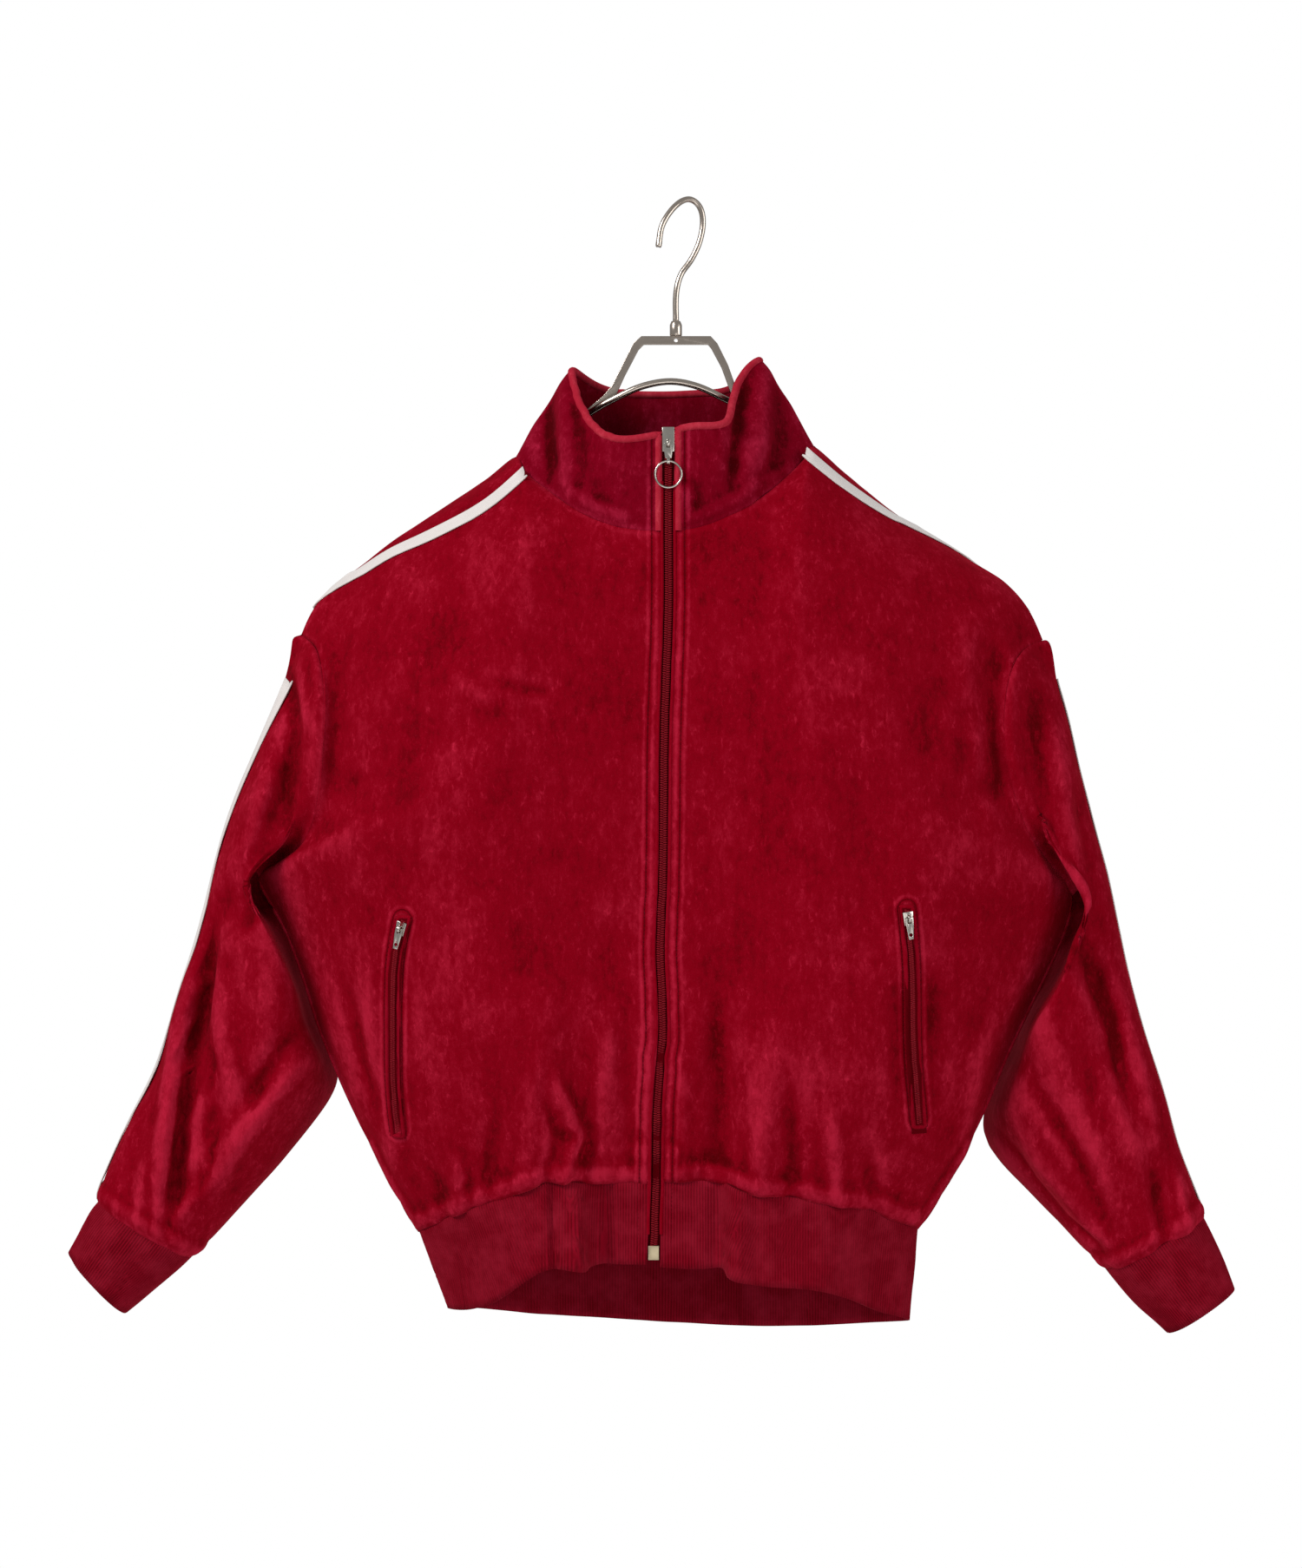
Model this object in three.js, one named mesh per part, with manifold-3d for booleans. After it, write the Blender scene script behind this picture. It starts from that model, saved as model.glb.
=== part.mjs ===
// A velour track jacket hanging on a metal clothes hanger. Millimetres, +X to the wearer's left, +Y to
// the back, +Z up. The origin is the underside of the hook's bend, where a rail carries the hanger.
// "right" and "left" in the names are the wearer's own sides.
import * as THREE from "three";
import { mergeVertices } from "three/addons/utils/BufferGeometryUtils.js";
import Module from "manifold-3d";

// Cloth thicknesses and the gap between two sewn pieces
const VELOUR_WALL = 2.2;
const COLLAR_WALL = 2.8;
const RIB_WALL = 2.6;
const SEAM_GAP = 0.3;

// Mesh density: cells of each panel between its seams
const NECK_CELLS = 7;
const BACK_NECK_CELLS = 10;
const SHOULDER_CELLS = 9;
const ARMHOLE_CELLS = 13;
const SIDE_CELLS = 10;
const SLEEVE_CELLS = 17;
const COLLAR_CELLS = 6;
const BAND_CELLS = 3;
const CUFF_CELLS = 3;

// Shape of the body tube: how square its sides are and how fast the cloth falls from the hanger
const SIDE_SQUARENESS = 4;
const SHOULDER_STEEPNESS = 12;
const RIDGE_ROUNDNESS = 0.12;
const RIDGE_SHARE = 0.006;
const TOP_CROWDING = 1.4;
const RISE_LOSS = 2.6;
const ARMPIT_SHARE = 0.41;
const BACK_DEPTH = 58;
const COLLAR_SWELL = 5;
// Room between a hanging sleeve and the body's side, and the band that turns out at the armhole seam
const SLEEVE_ROOM = 7;
const ARMHOLE_BAND = 7;
const ARMHOLE_ROOM = 8;

// Trimmings
const ZIP_TAPE_HALF = 11;
const ZIP_CHAIN_HALF = 2.6;
const STRIPE_WIDTH = 13;
const STRIPE_CLEARANCE = 1.2;
const STRIPE_THICKNESS = 0.9;
const POCKET_WIDTH = 11;

// Hanger
const WIRE = 4;
const ARM_WIRE = 4.5;

// The garment's colours and finishes
const velour = (name) => ({ name, color: 0x8e0016, roughness: 0.95, metalness: 0 });
const rib = (name) => ({ name, color: 0x96102a, roughness: 0.95, metalness: 0 });
const stripe = (name) => ({ name, color: 0xd7cdc8, roughness: 0.8, metalness: 0 });
const coil = (name) => ({ name, color: 0x5a0014, roughness: 0.6, metalness: 0 });
const nickel = (name) => ({ name, color: 0xc0bdb8, roughness: 0.25, metalness: 1 });
const chrome = (name) => ({ name, color: 0xb9b8b6, roughness: 0.2, metalness: 1 });
const brass = (name) => ({ name, color: 0xb59a62, roughness: 0.35, metalness: 1 });

// A table with named columns: one object for each row
function table(columns, rows) {
  const names = columns.split(" ");
  return rows.map((row) => Object.fromEntries(names.map((name, i) => [name, row[i]])));
}

// Collar stations from the right zip edge round the back to the left zip edge: seam below, edge above
const COLLAR = table("x y z topX topY topZ", [
  [-19, -63, -251, -19, -63, -178],
  [-36, -63, -250, -42, -66, -182],
  [-56, -61, -246, -58, -63, -180],
  [-79, -56, -236, -70, -52, -170],
  [-99, -46, -222, -78, -36, -154],
  [-118, -30, -206, -83, -16, -134],
  [-128, -4, -191, -85, 0, -124],
  [-117, 18, -197, -76, 20, -128],
  [-92, 34, -205, -60, 36, -135],
  [-60, 42, -208, -38, 46, -137],
  [-15, 46, -209, -12, 50, -137],
  [26, 42, -207, 14, 46, -136],
  [59, 34, -204, 34, 38, -134],
  [83, 18, -195, 50, 18, -123],
  [95, -4, -183, 53, 0, -117],
  [88, -18, -192, 42, -16, -128],
  [77, -32, -205, 36, -36, -148],
  [56, -48, -224, 34, -52, -163],
  [36, -57, -236, 24, -60, -171],
  [15, -61, -246, 8, -64, -172],
  [-9, -63, -251, -9, -63, -175],
]);
const RIGHT_NECK = 6;
const LEFT_NECK = 14;

// Waistband stations from the right zip edge round the back to the left one: seam above, edge below
const WAISTBAND = table("x y z lowX lowY lowZ", [
  [-27, -52, -730, -30, -48, -789],
  [-50, -54, -729, -52, -48, -789],
  [-74, -56, -729, -70, -50, -790],
  [-86, -60, -728, -79, -63, -793],
  [-98, -64, -727, -92, -68, -790],
  [-117, -62, -733, -108, -64, -793],
  [-149, -50, -746, -134, -50, -812],
  [-169, -38, -754, -152, -36, -822],
  [-186, -20, -763, -168, -18, -827],
  [-200, 0, -771, -179, 0, -828],
  [-175, 28, -778, -160, 26, -832],
  [-134, 46, -786, -124, 44, -838],
  [-79, 57, -790, -74, 54, -843],
  [-15, 60, -792, -12, 57, -847],
  [50, 58, -791, 47, 56, -850],
  [104, 48, -787, 100, 47, -848],
  [145, 28, -779, 140, 27, -843],
  [173, 0, -769, 167, 0, -837],
  [153, -26, -760, 146, -20, -829],
  [133, -42, -750, 125, -38, -818],
  [97, -58, -743, 95, -57, -807],
  [70, -64, -738, 60, -66, -803],
  [44, -66, -735, 33, -66, -798],
  [30, -62, -730, 25, -58, -791],
  [12, -54, -727, 12, -50, -792],
  [-5, -52, -728, -6, -48, -792],
  [-19, -52, -728, -20, -48, -791],
]);
const RIGHT_HIP = 9;
const LEFT_HIP = 17;

// The closed zip down the centre front, from the neck seam to the waistband seam, with half the gap
// between the two front edges
const ZIP = table("x y z half", [
  [-14, -63, -251, 5],
  [-14, -72, -308, 4.6],
  [-17, -78, -402, 4.4],
  [-18, -78, -497, 3.4],
  [-20, -76, -560, 3.4],
  [-18, -74, -611, 3.3],
  [-22, -66, -668, 3.4],
  [-23, -52, -729, 4],
]);

// The shoulder line on the hanger from the neck to the sleeve seam, then the armhole's front down to
// the armpit, then the side seam down to the hip
const SIDES = {
  right: {
    out: -1,
    shoulder: table("x y z", [
      [-154, 2, -210],
      [-192, 4, -235],
      [-229, 4, -260],
      [-251, 4, -278],
      [-267, 3, -290],
      [-281, 2, -306],
      [-289, 2, -324],
    ]),
    armhole: table("x y z", [
      [-275, -22, -336],
      [-268, -40, -364],
      [-268, -46, -396],
      [-270, -48, -428],
      [-273, -44, -452],
      [-280, -36, -472],
      [-294, -22, -488],
      [-321, 0, -507],
    ]),
    side: table("x y z", [
      [-304, 0, -540],
      [-290, 0, -573],
      [-280, 0, -606],
      [-267, 0, -640],
      [-249, 0, -681],
      [-229, 0, -720],
      [-214, 0, -747],
    ]),
  },
  left: {
    out: 1,
    shoulder: table("x y z", [
      [130, 2, -212],
      [161, 4, -236],
      [195, 4, -257],
      [220, 4, -273],
      [246, 3, -291],
      [258, 2, -308],
      [267, 2, -328],
    ]),
    armhole: table("x y z", [
      [250, -20, -336],
      [238, -38, -356],
      [233, -46, -390],
      [235, -48, -420],
      [242, -45, -447],
      [252, -37, -471],
      [267, -22, -491],
      [289, 0, -518],
    ]),
    side: table("x y z", [
      [284, 0, -544],
      [272, 0, -573],
      [256, 0, -606],
      [240, 0, -640],
      [223, 0, -681],
      [203, 0, -720],
      [188, 0, -747],
    ]),
  },
};

// Sleeve sections from the armhole to the cuff seam and then to the cuff's end: the outer fold, the
// underarm fold, and how far the cloth reaches to the front and to the back
const SLEEVES = {
  right: table("outX outY outZ inX inY inZ front back", [
    [-289, 2, -324, -321, 0, -507, -46, 40],
    [-307, 3, -373, -309, 20, -537, -46, 52],
    [-329, 4, -427, -295, 38, -573, -45, 64],
    [-345, 5, -470, -282, 50, -608, -43, 74],
    [-358, 6, -522, -271, 58, -639, -41, 82],
    [-366, 8, -551, -267, 60, -659, -39, 84],
    [-379, 9, -593, -273, 56, -677, -37, 82],
    [-396, 9, -642, -289, 46, -699, -35, 76],
    [-415, 8, -681, -310, 36, -725, -34, 66],
    [-428, 7, -710, -332, 26, -749, -32, 56],
    [-438, 5, -736, -353, 16, -772, -30, 46],
    [-440, 4, -748, -371, 10, -790, -27, 38],
  ]),
  left: table("outX outY outZ inX inY inZ front back", [
    [267, 2, -328, 289, 0, -518, -46, 40],
    [282, 3, -374, 285, 20, -548, -46, 52],
    [294, 4, -427, 273, 40, -588, -45, 64],
    [305, 5, -470, 254, 54, -628, -43, 76],
    [316, 6, -509, 238, 62, -662, -41, 86],
    [324, 8, -544, 229, 64, -690, -39, 88],
    [333, 9, -583, 231, 60, -710, -37, 86],
    [345, 9, -628, 243, 50, -728, -35, 80],
    [358, 8, -669, 262, 38, -748, -34, 70],
    [368, 7, -706, 282, 26, -768, -32, 58],
    [380, 5, -738, 300, 16, -786, -30, 46],
    [387, 4, -760, 315, 10, -800, -27, 38],
  ]),
};
const ARMHOLE_BLEND = [0, 0.5, 0.8, 0.95, 1];
const CUFFS = {
  right: table("outX outY outZ inX inY inZ front back", [
    [-440, 4, -748, -371, 10, -790, -27, 38],
    [-452, 3, -763, -387, 8, -805, -26, 34],
    [-463, 2, -786, -420, 6, -832, -22, 30],
  ]),
  left: table("outX outY outZ inX inY inZ front back", [
    [387, 4, -760, 315, 10, -800, -27, 38],
    [399, 3, -784, 333, 8, -822, -26, 34],
    [410, 2, -813, 360, 6, -847, -22, 30],
  ]),
};

// The largest folds, as straight soft troughs in the front of a piece: both ends, half width, depth
// inwards (a negative depth is a ridge)
const FOLDS = {
  front_right: table("x z toX toZ width depth", [
    [-262, -340, -256, -440, 9, 6],
    [-190, -400, -120, -380, 14, 2],
    [-60, -560, -66, -715, 10, 4],
    [-105, -600, -96, -718, 12, -4],
    [-150, -640, -140, -735, 12, 3],
  ]),
  front_left: table("x z toX toZ width depth", [
    [226, -345, 222, -450, 9, 6],
    [262, -530, 222, -620, 9, 5],
    [222, -620, 212, -690, 8, 4],
    [212, -690, 190, -735, 8, 3],
    [20, -560, 24, -712, 10, 4],
    [60, -610, 58, -725, 12, -4],
  ]),
  back: table("x z toX toZ width depth", [
    [-240, -380, -226, -500, 12, 5],
    [222, -385, 206, -505, 12, 5],
    [-120, -560, -104, -760, 16, 5],
    [70, -540, 60, -765, 16, 5],
    [-30, -620, -24, -780, 14, -4],
  ]),
  sleeve_right: table("x z toX toZ width depth", [
    [-286, -330, -279, -400, 7, -6],
    [-292, -355, -292, -412, 7, 7],
    [-292, -412, -299, -462, 8, 8],
    [-309, -404, -316, -444, 10, -5],
    [-316, -444, -338, -505, 11, -6],
    [-344, -512, -353, -560, 8, 9],
    [-353, -560, -362, -650, 10, 12],
    [-362, -650, -376, -742, 8, 8],
    [-268, -640, -325, -696, 12, -6],
    [-325, -696, -370, -748, 12, -6],
  ]),
  sleeve_left: table("x z toX toZ width depth", [
    [262, -345, 262, -420, 8, 7],
    [276, -440, 292, -520, 12, 6],
    [300, -540, 312, -650, 12, 6],
    [236, -690, 290, -760, 10, 7],
    [340, -660, 356, -745, 12, 5],
    [300, -600, 330, -700, 12, -5],
  ]),
};

const vec = (x, y, z) => new THREE.Vector3(x, y, z);
const place = (row) => vec(row.x, row.y, row.z);
const spline = (points) => new THREE.CatmullRomCurve3(points, false, "centripetal");

// Points of a spline through rows first to last of a table, evenly spaced in the row number
function stations(rows, pick, first, last, cells) {
  const curve = new THREE.CatmullRomCurve3(rows.map(pick), false, "catmullrom", 0.5);
  const count = rows.length - 1;
  const points = [];
  for (let i = 0; i <= cells; i++) {
    points.push(curve.getPoint((first + ((last - first) * i) / cells) / count));
  }
  return points;
}

// Points at even distances along a curve, or crowded towards its start
function along(points, cells, crowding = 1) {
  const curve = spline(points);
  return Array.from({ length: cells + 1 }, (_, i) => curve.getPointAt((i / cells) ** crowding));
}

const collarFoot = (row) => vec(row.x, row.y, row.z);
const collarEdge = (row) => vec(row.topX, row.topY, row.topZ);
const bandTop = (row) => vec(row.x, row.y, row.z);
const bandEdge = (row) => vec(row.lowX, row.lowY, row.lowZ);

// How far a fold moves the cloth at a place seen from the front
function foldDepth(folds, x, z) {
  let depth = 0;
  for (const fold of folds) {
    const dx = fold.toX - fold.x;
    const dz = fold.toZ - fold.z;
    const length = dx * dx + dz * dz;
    const share = THREE.MathUtils.clamp(((x - fold.x) * dx + (z - fold.z) * dz) / length, 0, 1);
    const away = Math.hypot(x - fold.x - share * dx, z - fold.z - share * dz);
    depth += fold.depth * Math.exp(-((away / fold.width) ** 2));
  }
  return depth;
}

// A panel between four edges, top and bottom running from the first side to the second. Its outline is
// blended evenly in X and Z, with the shoulder's rise soon lost, and its depth with steep shoulders and
// square sides.
function panel(top, bottom, first, second, across, down, folds, inward) {
  const grid = [];
  const columns = top.length - 1;
  const rows = first.length - 1;
  for (let i = 0; i <= rows; i++) {
    const line = [];
    for (let j = 0; j <= columns; j++) {
      const { share, depthShare } = across[j];
      const { fall, rise, depthFall } = down[i];
      const blend = (axis, a, high, low) => {
        const sides = (1 - a) * first[i][axis] + a * second[i][axis];
        const upper = top[j][axis] - (1 - a) * top[0][axis] - a * top[columns][axis];
        const lower = bottom[j][axis] - (1 - a) * bottom[0][axis] - a * bottom[columns][axis];
        return sides + high * upper + low * lower;
      };
      const x = blend("x", share, rise, fall);
      const z = blend("z", share, rise, fall);
      let y = blend("y", depthShare, 1 - depthFall, depthFall);
      const inside = i > 0 && i < rows && j > 0 && j < columns;
      if (inside) y += inward * foldDepth(folds, x, z);
      line.push(vec(x, y, z));
    }
    grid.push(line);
  }
  return grid;
}

// Shares down a panel: crowded at the shoulder and even below the armpit, with the depth settling soon
const downShares = [];
for (let i = 0; i <= ARMHOLE_CELLS + SIDE_CELLS; i++) {
  const above = (i / ARMHOLE_CELLS) ** TOP_CROWDING;
  const below = (i - ARMHOLE_CELLS) / SIDE_CELLS;
  const fall = i <= ARMHOLE_CELLS ? ARMPIT_SHARE * above : ARMPIT_SHARE + (1 - ARMPIT_SHARE) * below;
  const slope = 1 - (1 - fall) ** SHOULDER_STEEPNESS;
  const round = 1 - Math.exp(-fall / RIDGE_SHARE);
  const rise = (1 - fall) ** RISE_LOSS;
  downShares.push({ fall, rise, depthFall: slope + RIDGE_ROUNDNESS * (round - slope) });
}

// Shares across half a panel from the centre line to the side
const halfShares = (cells) => Array.from({ length: cells + 1 }, (_, j) => {
  const share = j / cells;
  return { share, depthShare: 1 - Math.sqrt(1 - share ** SIDE_SQUARENESS) };
});

// The edges that panels share, so that both sides of a seam have the same points
function edgesOf(side) {
  const { shoulder, armhole, side: seam, out } = SIDES[side];
  const right = side === "right";
  const neck = place(COLLAR[right ? RIGHT_NECK : LEFT_NECK]);
  const hip = place(WAISTBAND[right ? RIGHT_HIP : LEFT_HIP]);
  const tip = place(shoulder.at(-1));
  const pit = place(armhole.at(-1));
  const ridge = along([neck, ...shoulder.map(place)], SHOULDER_CELLS);
  const front = along([tip, ...armhole.map(place)], ARMHOLE_CELLS, TOP_CROWDING);
  const seamLine = along([pit, ...seam.map(place), hip], SIDE_CELLS);
  const back = front.map((p, i) => {
    const swell = Math.sin((Math.PI * i) / ARMHOLE_CELLS);
    return vec(p.x + out * 12 * swell, 0.85 * (2 - p.y) - 1.7 * (1 - swell), p.z);
  });
  back[0] = front[0].clone();
  back[ARMHOLE_CELLS] = front[ARMHOLE_CELLS].clone();
  return { ridge, front, back, seamLine };
}
const edges = { right: edgesOf("right"), left: edgesOf("left") };

const zipCurve = spline(ZIP.map(place));
const zipPoints = downShares.map(({ fall }) => zipCurve.getPointAt(fall));
const zipEdge = (out) => zipPoints.map((p, i) => (
  vec(p.x + out * column(ZIP, "half", downShares[i].fall), p.y, p.z)
));

function frontPanel(side) {
  const right = side === "right";
  const { ridge, front, seamLine } = edges[side];
  const last = COLLAR.length - 1;
  const neck = right
    ? stations(COLLAR, collarFoot, 0, RIGHT_NECK, NECK_CELLS)
    : stations(COLLAR, collarFoot, last, LEFT_NECK, NECK_CELLS);
  const hemCells = NECK_CELLS + SHOULDER_CELLS;
  const lastHem = WAISTBAND.length - 1;
  const hem = right
    ? stations(WAISTBAND, bandTop, 0, RIGHT_HIP, hemCells)
    : stations(WAISTBAND, bandTop, lastHem, LEFT_HIP, hemCells);
  const centre = zipEdge(SIDES[side].out);
  centre[0] = neck[0].clone();
  centre[centre.length - 1] = hem[0].clone();
  const outer = [...front, ...seamLine.slice(1)];
  return panel(
    [...neck, ...ridge.slice(1)], hem, centre, outer,
    halfShares(hemCells), downShares, FOLDS[`front_${side}`], 1,
  );
}

// The back is made as two halves that meet on its centre line
function backPanel() {
  const centreTop = COLLAR[(RIGHT_NECK + LEFT_NECK) / 2];
  const centreLow = WAISTBAND[(RIGHT_HIP + LEFT_HIP) / 2];
  const centre = downShares.map(({ fall, depthFall }) => vec(
    THREE.MathUtils.lerp(centreTop.x, centreLow.x, fall),
    THREE.MathUtils.lerp(centreTop.y, BACK_DEPTH + (centreLow.y - BACK_DEPTH) * fall, depthFall),
    THREE.MathUtils.lerp(centreTop.z, centreLow.z, fall),
  ));
  const half = BACK_NECK_CELLS / 2;
  const cells = half + SHOULDER_CELLS;
  const halves = ["right", "left"].map((side) => {
    const neckEnd = side === "right" ? RIGHT_NECK : LEFT_NECK;
    const hipEnd = side === "right" ? RIGHT_HIP : LEFT_HIP;
    const neck = stations(COLLAR, collarFoot, (RIGHT_NECK + LEFT_NECK) / 2, neckEnd, half);
    const hem = stations(WAISTBAND, bandTop, (RIGHT_HIP + LEFT_HIP) / 2, hipEnd, cells);
    const { ridge, back, seamLine } = edges[side];
    const outer = [...back, ...seamLine.slice(1)];
    return panel(
      [...neck, ...ridge.slice(1)], hem, centre, outer,
      halfShares(cells), downShares, FOLDS.back, -1,
    );
  });
  const [right, left] = halves;
  return right.map((line, i) => [...line.slice().reverse(), ...left[i].slice(1)]);
}

// A value from a table's column at a fractional row
function column(rows, name, at) {
  const values = rows.map((row) => vec(row[name], 0, 0));
  return new THREE.CatmullRomCurve3(values, false, "catmullrom", 0.5).getPoint(at).x;
}

// A ring round a sleeve or cuff at a share of its length. Ring points start on the outer fold, go down
// the front to the underarm fold and come up the back.
function ringAt(rows, share, count) {
  const get = (name) => column(rows, name, share);
  const outer = vec(get("outX"), get("outY"), get("outZ"));
  const inner = vec(get("inX"), get("inY"), get("inZ"));
  const front = get("front");
  const back = get("back");
  const ring = [];
  for (let k = 0; k < count; k++) {
    const turn = (2 * Math.PI * k) / count;
    const c = Math.cos(turn);
    const s = Math.sin(turn);
    const reach = Math.sign(c) * Math.abs(c) ** 0.9;
    const p = outer.clone().lerp(inner, (1 - reach) / 2);
    const depth = (s > 0 ? front : back) - p.y;
    p.y += depth * Math.abs(s) ** 0.8;
    ring.push(p);
  }
  return ring;
}

// Keeps a point of the sleeve clear of the body's side: outside the armhole or the side seam at its own
// height, or behind the back where the cloth has turned inwards
function besideBody(q, side, room) {
  const { front, back, seamLine } = edges[side];
  const { out } = SIDES[side];
  const line = [...(q.y < 0 ? front : back), ...seamLine.slice(1)];
  let i = 0;
  while (i < line.length - 2 && line[i + 1].z > q.z) i += 1;
  const share = THREE.MathUtils.clamp((q.z - line[i].z) / (line[i + 1].z - line[i].z), 0, 1);
  const edge = line[i].x + share * (line[i + 1].x - line[i].x);
  const behind = Math.max(0, (q.y - SLEEVE_ROOM - VELOUR_WALL) / BACK_DEPTH);
  const least = room - BACK_DEPTH * behind ** 2;
  const reach = out * (q.x - edge);
  if (reach < least) q.x = edge + out * least;
  return q;
}

// The sleeve's first ring beyond the armhole seam: a band that turns out, square to the seam as it is
// seen from the front
function armholeBand(armhole, side) {
  const { out } = SIDES[side];
  const count = armhole.length;
  const tip = vec(out, 0, -0.6).normalize();
  const pit = vec(out, 0, 0.5).normalize();
  return armhole.map((p, k) => {
    const next = armhole[(k + 1) % count];
    const last = armhole[(k + count - 1) % count];
    const down = k < ARMHOLE_CELLS ? next.clone().sub(last) : last.clone().sub(next);
    down.normalize();
    const way = vec(-out * down.z, 0, out * down.x);
    way.addScaledVector(down, -way.dot(down)).normalize();
    if (k === 0) way.copy(tip);
    if (k === ARMHOLE_CELLS) way.copy(pit);
    return p.clone().addScaledVector(way, ARMHOLE_BAND);
  });
}

function sleeve(side) {
  const rows = SLEEVES[side];
  const { front, back } = edges[side];
  const armhole = [...front, ...back.slice(1, -1).reverse()];
  const count = armhole.length;
  const start = rows[0];
  const grid = [armhole, armholeBand(armhole, side)];
  for (let i = 1; i <= SLEEVE_CELLS; i++) {
    const share = i / SLEEVE_CELLS;
    const ring = ringAt(rows, share, count);
    const at = share * (rows.length - 1);
    const blendRow = Math.min(Math.floor(at), ARMHOLE_BLEND.length - 2);
    const blendShare = Math.min(at - blendRow, 1);
    const blend = THREE.MathUtils.lerp(
      ARMHOLE_BLEND[blendRow], ARMHOLE_BLEND[blendRow + 1], blendShare,
    );
    const outMove = vec(column(rows, "outX", share), column(rows, "outY", share), column(rows, "outZ", share))
      .sub(vec(start.outX, start.outY, start.outZ));
    const inMove = vec(column(rows, "inX", share), column(rows, "inY", share), column(rows, "inZ", share))
      .sub(vec(start.inX, start.inY, start.inZ));
    grid.push(ring.map((p, k) => {
      const c = Math.cos((2 * Math.PI * k) / count);
      const carried = armhole[k].clone()
        .addScaledVector(outMove, (1 + c) / 2)
        .addScaledVector(inMove, (1 - c) / 2);
      const q = carried.lerp(p, blend);
      const faces = Math.sin((2 * Math.PI * k) / count);
      const loose = Math.sin(Math.PI * Math.min(1, share * 4) / 2) * Math.min(1, (1 - share) * 8);
      const push = foldDepth(FOLDS[`sleeve_${side}`], q.x, q.z) * loose;
      q.y += push * (faces > 0 ? faces ** 0.5 : -(Math.abs(faces) ** 0.5) * 0.7);
      return besideBody(q, side, SLEEVE_ROOM + ARMHOLE_ROOM * Math.exp(1 - i));
    }));
  }
  return grid;
}

function cuff(side) {
  const grid = [];
  const count = 2 * ARMHOLE_CELLS;
  for (let i = 0; i <= CUFF_CELLS; i++) {
    grid.push(ringAt(CUFFS[side], i / CUFF_CELLS, count));
  }
  return grid;
}

// The stand collar, from its seam up to its rolled edge
function collar() {
  const last = COLLAR.length - 1;
  const ring = (pick) => [
    ...stations(COLLAR, pick, 0, RIGHT_NECK, NECK_CELLS),
    ...stations(COLLAR, pick, RIGHT_NECK, LEFT_NECK, BACK_NECK_CELLS).slice(1),
    ...stations(COLLAR, pick, LEFT_NECK, last, NECK_CELLS).slice(1),
  ];
  const foot = ring(collarFoot);
  const edge = ring(collarEdge);
  const grid = [];
  for (let i = 0; i <= COLLAR_CELLS; i++) {
    const rise = i / COLLAR_CELLS;
    grid.push(foot.map((p, j) => {
      const q = p.clone().lerp(edge[j], rise);
      const side = Math.sin((Math.PI * j) / (foot.length - 1)) ** 2;
      const swell = COLLAR_SWELL * Math.sin(Math.PI * rise) ** 2 * side;
      const out = vec(p.x + 16, p.y, 0).normalize();
      return q.addScaledVector(out, swell);
    }));
  }
  return grid;
}

// The ribbed waistband, from its seam down to its edge
function waistband() {
  const last = WAISTBAND.length - 1;
  const frontCells = NECK_CELLS + SHOULDER_CELLS;
  const backCells = BACK_NECK_CELLS + 2 * SHOULDER_CELLS;
  const ring = (pick) => [
    ...stations(WAISTBAND, pick, 0, RIGHT_HIP, frontCells),
    ...stations(WAISTBAND, pick, RIGHT_HIP, LEFT_HIP, backCells).slice(1),
    ...stations(WAISTBAND, pick, LEFT_HIP, last, frontCells).slice(1),
  ];
  const top = ring(bandTop);
  const edge = ring(bandEdge);
  const grid = [];
  for (let i = 0; i <= BAND_CELLS; i++) {
    const fall = i / BAND_CELLS;
    grid.push(top.map((p, j) => p.clone().lerp(edge[j], fall)));
  }
  return grid;
}

const frontPanels = { right: frontPanel("right"), left: frontPanel("left") };
const backGrid = backPanel();

// Every sewn cloth piece: its points, its wall, whether its ring is closed, which way it faces, and
// which of its four edges are sewn (top, bottom, first side, second side)
const pieces = {
  front_right: { grid: frontPanels.right, wall: VELOUR_WALL, face: 1, sewn: "top bottom second" },
  front_left: { grid: frontPanels.left, wall: VELOUR_WALL, face: -1, sewn: "top bottom second" },
  back: { grid: backGrid, wall: VELOUR_WALL, face: 1, sewn: "top bottom first second" },
  sleeve_right: { grid: sleeve("right"), wall: VELOUR_WALL, face: -1, round: true, sewn: "top bottom" },
  sleeve_left: { grid: sleeve("left"), wall: VELOUR_WALL, face: 1, round: true, sewn: "top bottom" },
  collar: { grid: collar(), wall: COLLAR_WALL, face: -1, sewn: "top" },
  waistband: { grid: waistband(), wall: RIB_WALL, face: 1, sewn: "top" },
  cuff_right: { grid: cuff("right"), wall: RIB_WALL, face: -1, round: true, sewn: "top" },
  cuff_left: { grid: cuff("left"), wall: RIB_WALL, face: 1, round: true, sewn: "top" },
};

const keyOf = (p) => `${p.x.toFixed(2)} ${p.y.toFixed(2)} ${p.z.toFixed(2)}`;

// Outward directions at a piece's points, from its own cells
function facing({ grid, face, round }) {
  const rows = grid.length;
  const columns = grid[0].length;
  const cellsAcross = round ? columns : columns - 1;
  const normals = grid.map((line) => line.map(() => vec(0, 0, 0)));
  for (let i = 0; i < rows - 1; i++) {
    for (let j = 0; j < cellsAcross; j++) {
      const k = (j + 1) % columns;
      const a = grid[i][j];
      const b = grid[i][k];
      const c = grid[i + 1][k];
      const d = grid[i + 1][j];
      const cross = c.clone().sub(a).cross(d.clone().sub(b)).multiplyScalar(face);
      for (const [r, q] of [[i, j], [i, k], [i + 1, k], [i + 1, j]]) normals[r][q].add(cross);
    }
  }
  return normals.map((line) => line.map((n) => n.normalize()));
}

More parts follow.
